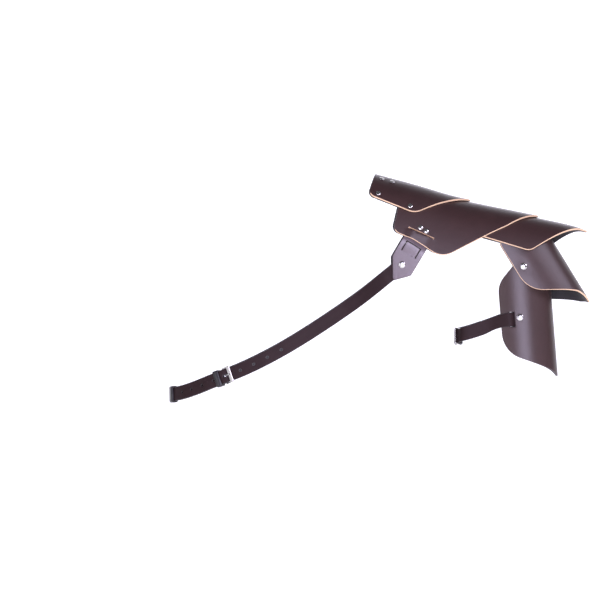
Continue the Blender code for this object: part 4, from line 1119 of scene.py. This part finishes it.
def buckle_strap_profile(start, pivot):
    """From its far end to the buckle, over the pivot bar, round it and back under itself."""
    rows = [(start, LEVEL), (pivot - STEP_START, LEVEL), (pivot - STEP_END, SECOND)]
    rows += [(pivot - FOLD_RUN, SECOND), (pivot - FOLD_LEAD, PIVOT_LEVEL + FOLD_R - FOLD_DIP)]
    for k in range(9):
        turn = math.pi * k / 8
        rows.append((pivot + FOLD_R * math.sin(turn), PIVOT_LEVEL + FOLD_R * math.cos(turn)))
    rows += [(pivot - FLAP_LENGTH / 2, LEVEL), (pivot - FLAP_LENGTH, LEVEL)]
    return rows


def billet_profile(start, pivot, tail):
    """From its far end, under the buckle's bar, over the pivot and on the other strap to its free end."""
    over_pivot = PIVOT_LEVEL + FOLD_R + STRAP_THICK + RIVET_FIT
    rows = [(start, LEVEL), (pivot + BILLET_START, LEVEL)]
    rows += [(pivot + before, LEVEL + rise) for before, rise in BILLET_RISE]
    rows += [(pivot + before, over_pivot + rise) for before, rise in BILLET_TOP]
    rows += [(pivot - past, THIRD + rise) for past, rise in BILLET_FALL]
    return rows + [(pivot - BILLET_TAIL, SECOND), (tail, SECOND)]


def punched(rows, pivot, first, last):
    """Round holes along the billet; the one with the prong through it has stretched."""
    holes = []
    for k in range(first, last + 1):
        middle = along_strip(rows, pivot + PRONG_HOLE_AT + k * HOLE_PITCH)
        if k:
            holes.append(circle((middle, 0), HOLE_R, 16))
        else:
            half = PRONG_HOLE_LENGTH / 2
            holes.append(bar_outline((middle - half, 0), (middle + half, 0), 2 * HOLE_R))
    return holes


def back_openings(rows, rivet_arc, rivet_side=0.0):
    """The rivet's hole at the far end and the prong's slot at the fold."""
    fold = max(range(len(rows)), key=lambda k: rows[k].x)
    apex = sum((b - a).length for a, b in zip(rows[:fold], rows[1:fold + 1]))
    half = PRONG_SLOT_LENGTH / 2
    prong = bar_outline((apex - half, 0), (apex + half, 0), 2 * PRONG_R + PRONG_SLOT_PLAY)
    return [circle((along_strip(rows, rivet_arc), rivet_side), POST_R + 2 * RIVET_FIT), prong]


chest_end = HANGER_ARC + END_SHARE * STRAP_WIDTH
chest_rows = softened(billet_profile(chest_end, CHEST_PIVOT, CHEST_TAIL))
chest_holes = punched(chest_rows, CHEST_PIVOT, -4, 4)
chest_holes.append(circle((along_strip(chest_rows, HANGER_ARC), 0), POST_R + 2 * RIVET_FIT))
strap("chest_strap_billet", chest_rows, STRAP_WIDTH, chest_loop, chest_holes)
back_rows = softened(buckle_strap_profile(-chest_end, CHEST_PIVOT))
strap("chest_strap_back", back_rows, STRAP_WIDTH, chest_loop, back_openings(back_rows, -HANGER_ARC))


# The buckle and keepers: a stamped and nickel-plated frame with one wide bar, a wire prong hooked on its
# other bar, and loops of the same strap leather that hold the free end down.
BUCKLE_TILT = math.radians(27)
BUCKLE_OPENING = 0.0065
BUCKLE_BAR = 0.0052
BUCKLE_SIDE = 0.0016
BUCKLE_PIVOT_CORNER = 0.0006
BUCKLE_BAR_CORNER = 0.0016
METAL_ROUND = 0.00045
PRONG_PLAY = 0.0002
PRONG_SIDES = 12
PRONG_HOOK_STEPS = 10
PRONG_TIP_SHARE = 0.55
KEEPER_WIDTH = 0.0065
END_KEEPER_WIDTH = 0.0120
KEEPER_THICK = 0.0012
KEEPER_BACK = 0.0078
KEEPER_SLACK = 0.0022
END_KEEPER_SLACK = 0.0005
KEEPER_PLAY = 0.0006
KEEPER_CORNER = 0.0009
KEEPER_EDGE = 0.0003
KEEPER_EDGE_SHARE = 0.75

# The prong's straight part: distance past the opening's far edge, and lift off its rest on the bar
PRONG_TIP = ((-0.0010, 0.0006), (0.0020, 0), (0.0034, 0), (0.0038, -0.0001))

# Keeper leather: rubbed and waxed until it shines, as the keepers take all the handling
polished_keeper = leather_material("polished_keeper_leather", "161316", "1E1A1C", 0.30, 0.12)


def buckle_frame(node, matrix):
    """The stamped frame: flat metal with rounded edges, and a window between its two bars."""
    inner = STRAP_WIDTH / 2 + GAP
    half = inner + BUCKLE_SIDE
    near_edge = WIRE / 2
    far_edge = near_edge + BUCKLE_OPENING
    far = far_edge + BUCKLE_BAR
    ring = rounded([
        (-near_edge, -half, BUCKLE_PIVOT_CORNER), (far, -half, BUCKLE_BAR_CORNER),
        (far, half, BUCKLE_BAR_CORNER), (-near_edge, half, BUCKLE_PIVOT_CORNER),
    ])
    corners = ((near_edge, -inner), (far_edge, -inner), (far_edge, inner), (near_edge, inner))
    bm = flat_blank(node, [ring, [Vector(corner) for corner in corners]], WIRE, METAL_ROUND)
    for face in bm.faces:
        face.smooth = True
    bm.transform(matrix)
    wear(even_shading(from_bmesh(node + "_metal", bm, [bright_nickel])), node)


def prong(node, matrix):
    """A wire hooked on the pivot bar, up through the hole and down on the wide bar, its tip filed down."""
    rest = WIRE / 2 + RIVET_FIT + PRONG_R
    ring = rest + PRONG_PLAY
    points = []
    for k in range(PRONG_HOOK_STEPS + 1):
        turn = math.radians(-150 + 240 * k / PRONG_HOOK_STEPS)
        points.append(Vector((ring * math.sin(turn), ring * math.cos(turn))))
    hook_end = points[-1]
    over, *tip = [Vector((WIRE / 2 + BUCKLE_OPENING + past, rest + rise)) for past, rise in PRONG_TIP]
    points += [hook_end.lerp(over, w) for w in (0.33, 0.66, 1)] + tip
    bm = bmesh.new()
    rings = []
    for k, point in enumerate(points):
        run = (points[min(k + 1, len(points) - 1)] - points[max(k - 1, 0)]).normalized()
        across = Vector((-run.y, run.x))
        radius = PRONG_R * (PRONG_TIP_SHARE if k == len(points) - 1 else 1)
        row = []
        for i in range(PRONG_SIDES):
            t = 2 * math.pi * i / PRONG_SIDES
            spot = point + across * radius * math.cos(t)
            row.append(bm.verts.new(matrix @ Vector((spot.x, radius * math.sin(t), spot.y))))
        rings.append(row)
    for a, b in zip(rings, rings[1:]):
        for i in range(PRONG_SIDES):
            j = (i + 1) % PRONG_SIDES
            bm.faces.new((a[i], a[j], b[j], b[i]))
    bm.faces.new(rings[0][::-1])
    bm.faces.new(rings[-1])
    wear(creased(node + "_wire", bm, bright_nickel, 60), node)


def keeper(node, loop, at, width, height, low):
    """A flat leather loop round all the straps at one place, with its corners creased round."""
    half = STRAP_WIDTH / 2 + KEEPER_PLAY
    bottom = low - RIVET_FIT
    top = height + RIVET_FIT
    inside, outside = [
        rounded([
            (-half - grown, bottom - grown, KEEPER_CORNER + grown),
            (half + grown, bottom - grown, KEEPER_CORNER + grown),
            (half + grown, top + grown, KEEPER_CORNER + grown),
            (-half - grown, top + grown, KEEPER_CORNER + grown),
        ])
        for grown in (0, KEEPER_THICK)
    ]
    # Across the leather's width: the place along the strap, and the share of the thickness that is left there
    side = width / 2
    flat = side - KEEPER_EDGE
    shape = ((-side, KEEPER_EDGE_SHARE), (-flat, 1), (0, 1), (flat, 1), (side, KEEPER_EDGE_SHARE))
    bm = bmesh.new()
    rows = []
    count = len(inside)
    for shift, full in shape:
        row = []
        for p, q in zip(inside, outside):
            outer = p.lerp(q, full)
            places = (loop(at + shift, p.x, p.y), loop(at + shift, outer.x, outer.y))
            row.append([bm.verts.new(spot) for spot in places])
        rows.append(row)
    for a, b in zip(rows, rows[1:]):
        for i in range(count):
            j = (i + 1) % count
            bm.faces.new((a[i][1], a[j][1], b[j][1], b[i][1]))
            bm.faces.new((a[i][0], b[i][0], b[j][0], a[j][0]))
    for row in (rows[0], rows[-1]):
        for i in range(count):
            j = (i + 1) % count
            bm.faces.new((row[i][0], row[j][0], row[j][1], row[i][1]))
    wear(creased(node + "_loop", bm, polished_keeper, 55), node)


def buckle(prefix, loop, pivot, keepers):
    """The frame, prong and keepers at one place on a strap's loop."""
    here = loop(pivot, 0, PIVOT_LEVEL)
    out = (loop(pivot, 0, PIVOT_LEVEL + 2 * PROBE) - here).normalized()
    ahead = loop(pivot + 2 * PROBE, 0, PIVOT_LEVEL) - here
    tilted = place(here, out, ahead) @ Matrix.Rotation(-BUCKLE_TILT, 4, "Y")
    buckle_frame(prefix + "_buckle_frame", tilted)
    prong(prefix + "_buckle_prong", tilted)
    for node, at, width, height, low in keepers:
        keeper(node, loop, at, width, height, low)


beside_buckle = THIRD + STRAP_THICK / 2 + KEEPER_SLACK
at_free_end = SECOND + STRAP_THICK / 2 + END_KEEPER_SLACK
# name, place on the loop, width, top and bottom of the straps inside it
buckle("chest", chest_loop, CHEST_PIVOT, (
    ("chest_keeper", CHEST_PIVOT - KEEPER_BACK, KEEPER_WIDTH, beside_buckle, 0),
    ("chest_end_keeper", END_KEEPER_AT, END_KEEPER_WIDTH, at_free_end, -RIVET_FIT),
))


# The arm strap: the same strap and buckle again, out of the cuff's slots, round its front and back edges and
# across the inside of the arm, where it is seen nearly edge on.
ARM_LOOP_X = 0.0145
ARM_LOOP_FALL = 0.019
ARM_LOOP_FLAT = 0.013
ARM_LOOP_CORNER = 0.012
ARM_STRAP_SLOPE = 0.30
ARM_PIVOT = 0.002
ARM_TAIL = -0.050
ARM_EDGE_PLAY = 0.002
ARM_SLOT_LEAD = 0.0055
ARM_SLOT_IN = 0.0030
ARM_SLOT_THROUGH = 0.0070
ARM_BLEND = 0.026
ARM_EASE = 0.010
ARM_LEAVE = 0.024
ARM_LEAVE_STEP = 0.004
ARM_FALL_POWER = 1.3
ARM_LEVEL = PLATE_THICK / 2 + GAP
ARM_EDGE = LOWER_REACH + ARM_EDGE_PLAY
ARM_SLOT_ROUND = SLOT_AT[1] + ARM_SLOT_LEAD


def arm_rise(before):
    """How far down the arm the strap has sunk at a distance before the slot."""
    return ARM_STRAP_SLOPE * before * before / (before + ARM_EASE)


leave = lower_arm(SLOT_AT[0], ARM_EDGE, ARM_LEVEL)
heading = (leave - lower_arm(SLOT_AT[0], ARM_EDGE - ARM_LEAVE_STEP, ARM_LEVEL)).normalized() * ARM_LEAVE
leave = Vector((leave.x, leave.y))
pull = leave + Vector((heading.x, heading.y))
near = Vector((ARM_LOOP_X, -ARM_LOOP_FLAT))
knee = Vector((ARM_LOOP_X, -ARM_LOOP_FLAT - ARM_LOOP_CORNER))
arm_points = [Vector((ARM_LOOP_X, 0)), Vector((ARM_LOOP_X, -ARM_LOOP_FLAT / 2)), near]
for k in range(1, 13):
    w = k / 12
    a, b, c = near.lerp(knee, w), knee.lerp(pull, w), pull.lerp(leave, w)
    arm_points.append(a.lerp(b, w).lerp(b.lerp(c, w), w))
arm_marks = [0.0]
for a, b in zip(arm_points, arm_points[1:]):
    arm_marks.append(arm_marks[-1] + (b - a).length)
EDGE_ARC = arm_marks[-1]
ARM_SLOT_ARC = EDGE_ARC + ARM_EDGE - ARM_SLOT_ROUND
ARM_RIVET_ARC = EDGE_ARC + ARM_EDGE - ARM_RIVET_AT[1]
arm_x_table = tuple(zip(arm_marks, (p.x for p in arm_points)))
arm_y_table = tuple(zip(arm_marks, (p.y for p in arm_points)))
edge_height = lower_arm(SLOT_AT[0] + arm_rise(ARM_EDGE - ARM_SLOT_ROUND), ARM_EDGE, ARM_LEVEL).z


def arm_base(arc):
    """The middle line of the arm strap's loop."""
    reach = max(arc, 0)
    height = edge_height - ARM_LOOP_FALL * (1 - (reach / EDGE_ARC) ** ARM_FALL_POWER)
    return Vector((smooth(arm_x_table, reach), smooth(arm_y_table, reach), height))


def arm_loop(arc, across, lift):
    """A place on the arm strap: round from the inner side to the front slot, up across it, and outward."""
    reach = abs(arc)
    point = arm_base(reach)
    ahead = arm_base(reach + PROBE) - point
    flat = Vector((ahead.x, ahead.y, 0)).normalized()
    out = Vector((flat.y, -flat.x, 0))
    up = out.cross(ahead.normalized())
    if up.z < 0:
        up = -up
    point = point + up * across + out * lift
    on_plate = ease((reach - EDGE_ARC + ARM_BLEND) / ARM_BLEND)
    if on_plate > 0:
        before = max(ARM_SLOT_ARC - reach, 0)
        slope = math.atan(ARM_STRAP_SLOPE * before * (before + 2 * ARM_EASE) / (before + ARM_EASE) ** 2)
        round_by = ARM_EDGE + EDGE_ARC - reach - across * math.sin(slope)
        along = SLOT_AT[0] + arm_rise(before) - across * math.cos(slope)
        point = point.lerp(lower_arm(along, round_by, ARM_LEVEL + lift), on_plate)
    return point if arc >= 0 else Vector((point.x, -point.y, point.z))


def through_slot(rows, side):
    """Carries a profile on from outside the cuff, through the slot, to the rivet inside."""
    inside = -PLATE_THICK - 2 * GAP - STRAP_THICK / 2
    more = [
        (ARM_SLOT_ARC + ARM_SLOT_IN, LEVEL), (ARM_SLOT_ARC + ARM_SLOT_THROUGH, inside),
        (ARM_RIVET_ARC, inside),
        (ARM_RIVET_ARC + END_SHARE * STRAP_WIDTH, inside),
    ]
    return rows + [(side * x, lift) for x, lift in more]


arm_rivet_side = SLOT_AT[0] - ARM_RIVET_AT[0]
arm_rows = softened(through_slot(billet_profile(ARM_SLOT_ARC, ARM_PIVOT, ARM_TAIL)[::-1], 1))
arm_holes = punched(arm_rows, ARM_PIVOT, -2, 0)
arm_holes.append(circle((along_strip(arm_rows, ARM_RIVET_ARC), arm_rivet_side), POST_R + 2 * RIVET_FIT))
strap("arm_strap_billet", arm_rows, STRAP_WIDTH, arm_loop, arm_holes)
arm_back_rows = softened(through_slot(buckle_strap_profile(-ARM_SLOT_ARC, ARM_PIVOT)[::-1], -1)[::-1])
arm_back_holes = back_openings(arm_back_rows, -ARM_RIVET_ARC, arm_rivet_side)
strap("arm_strap_back", arm_back_rows, STRAP_WIDTH, arm_loop, arm_back_holes)
buckle("arm", arm_loop, ARM_PIVOT, (("arm_keeper", ARM_PIVOT - KEEPER_BACK, KEEPER_WIDTH, beside_buckle, 0),))
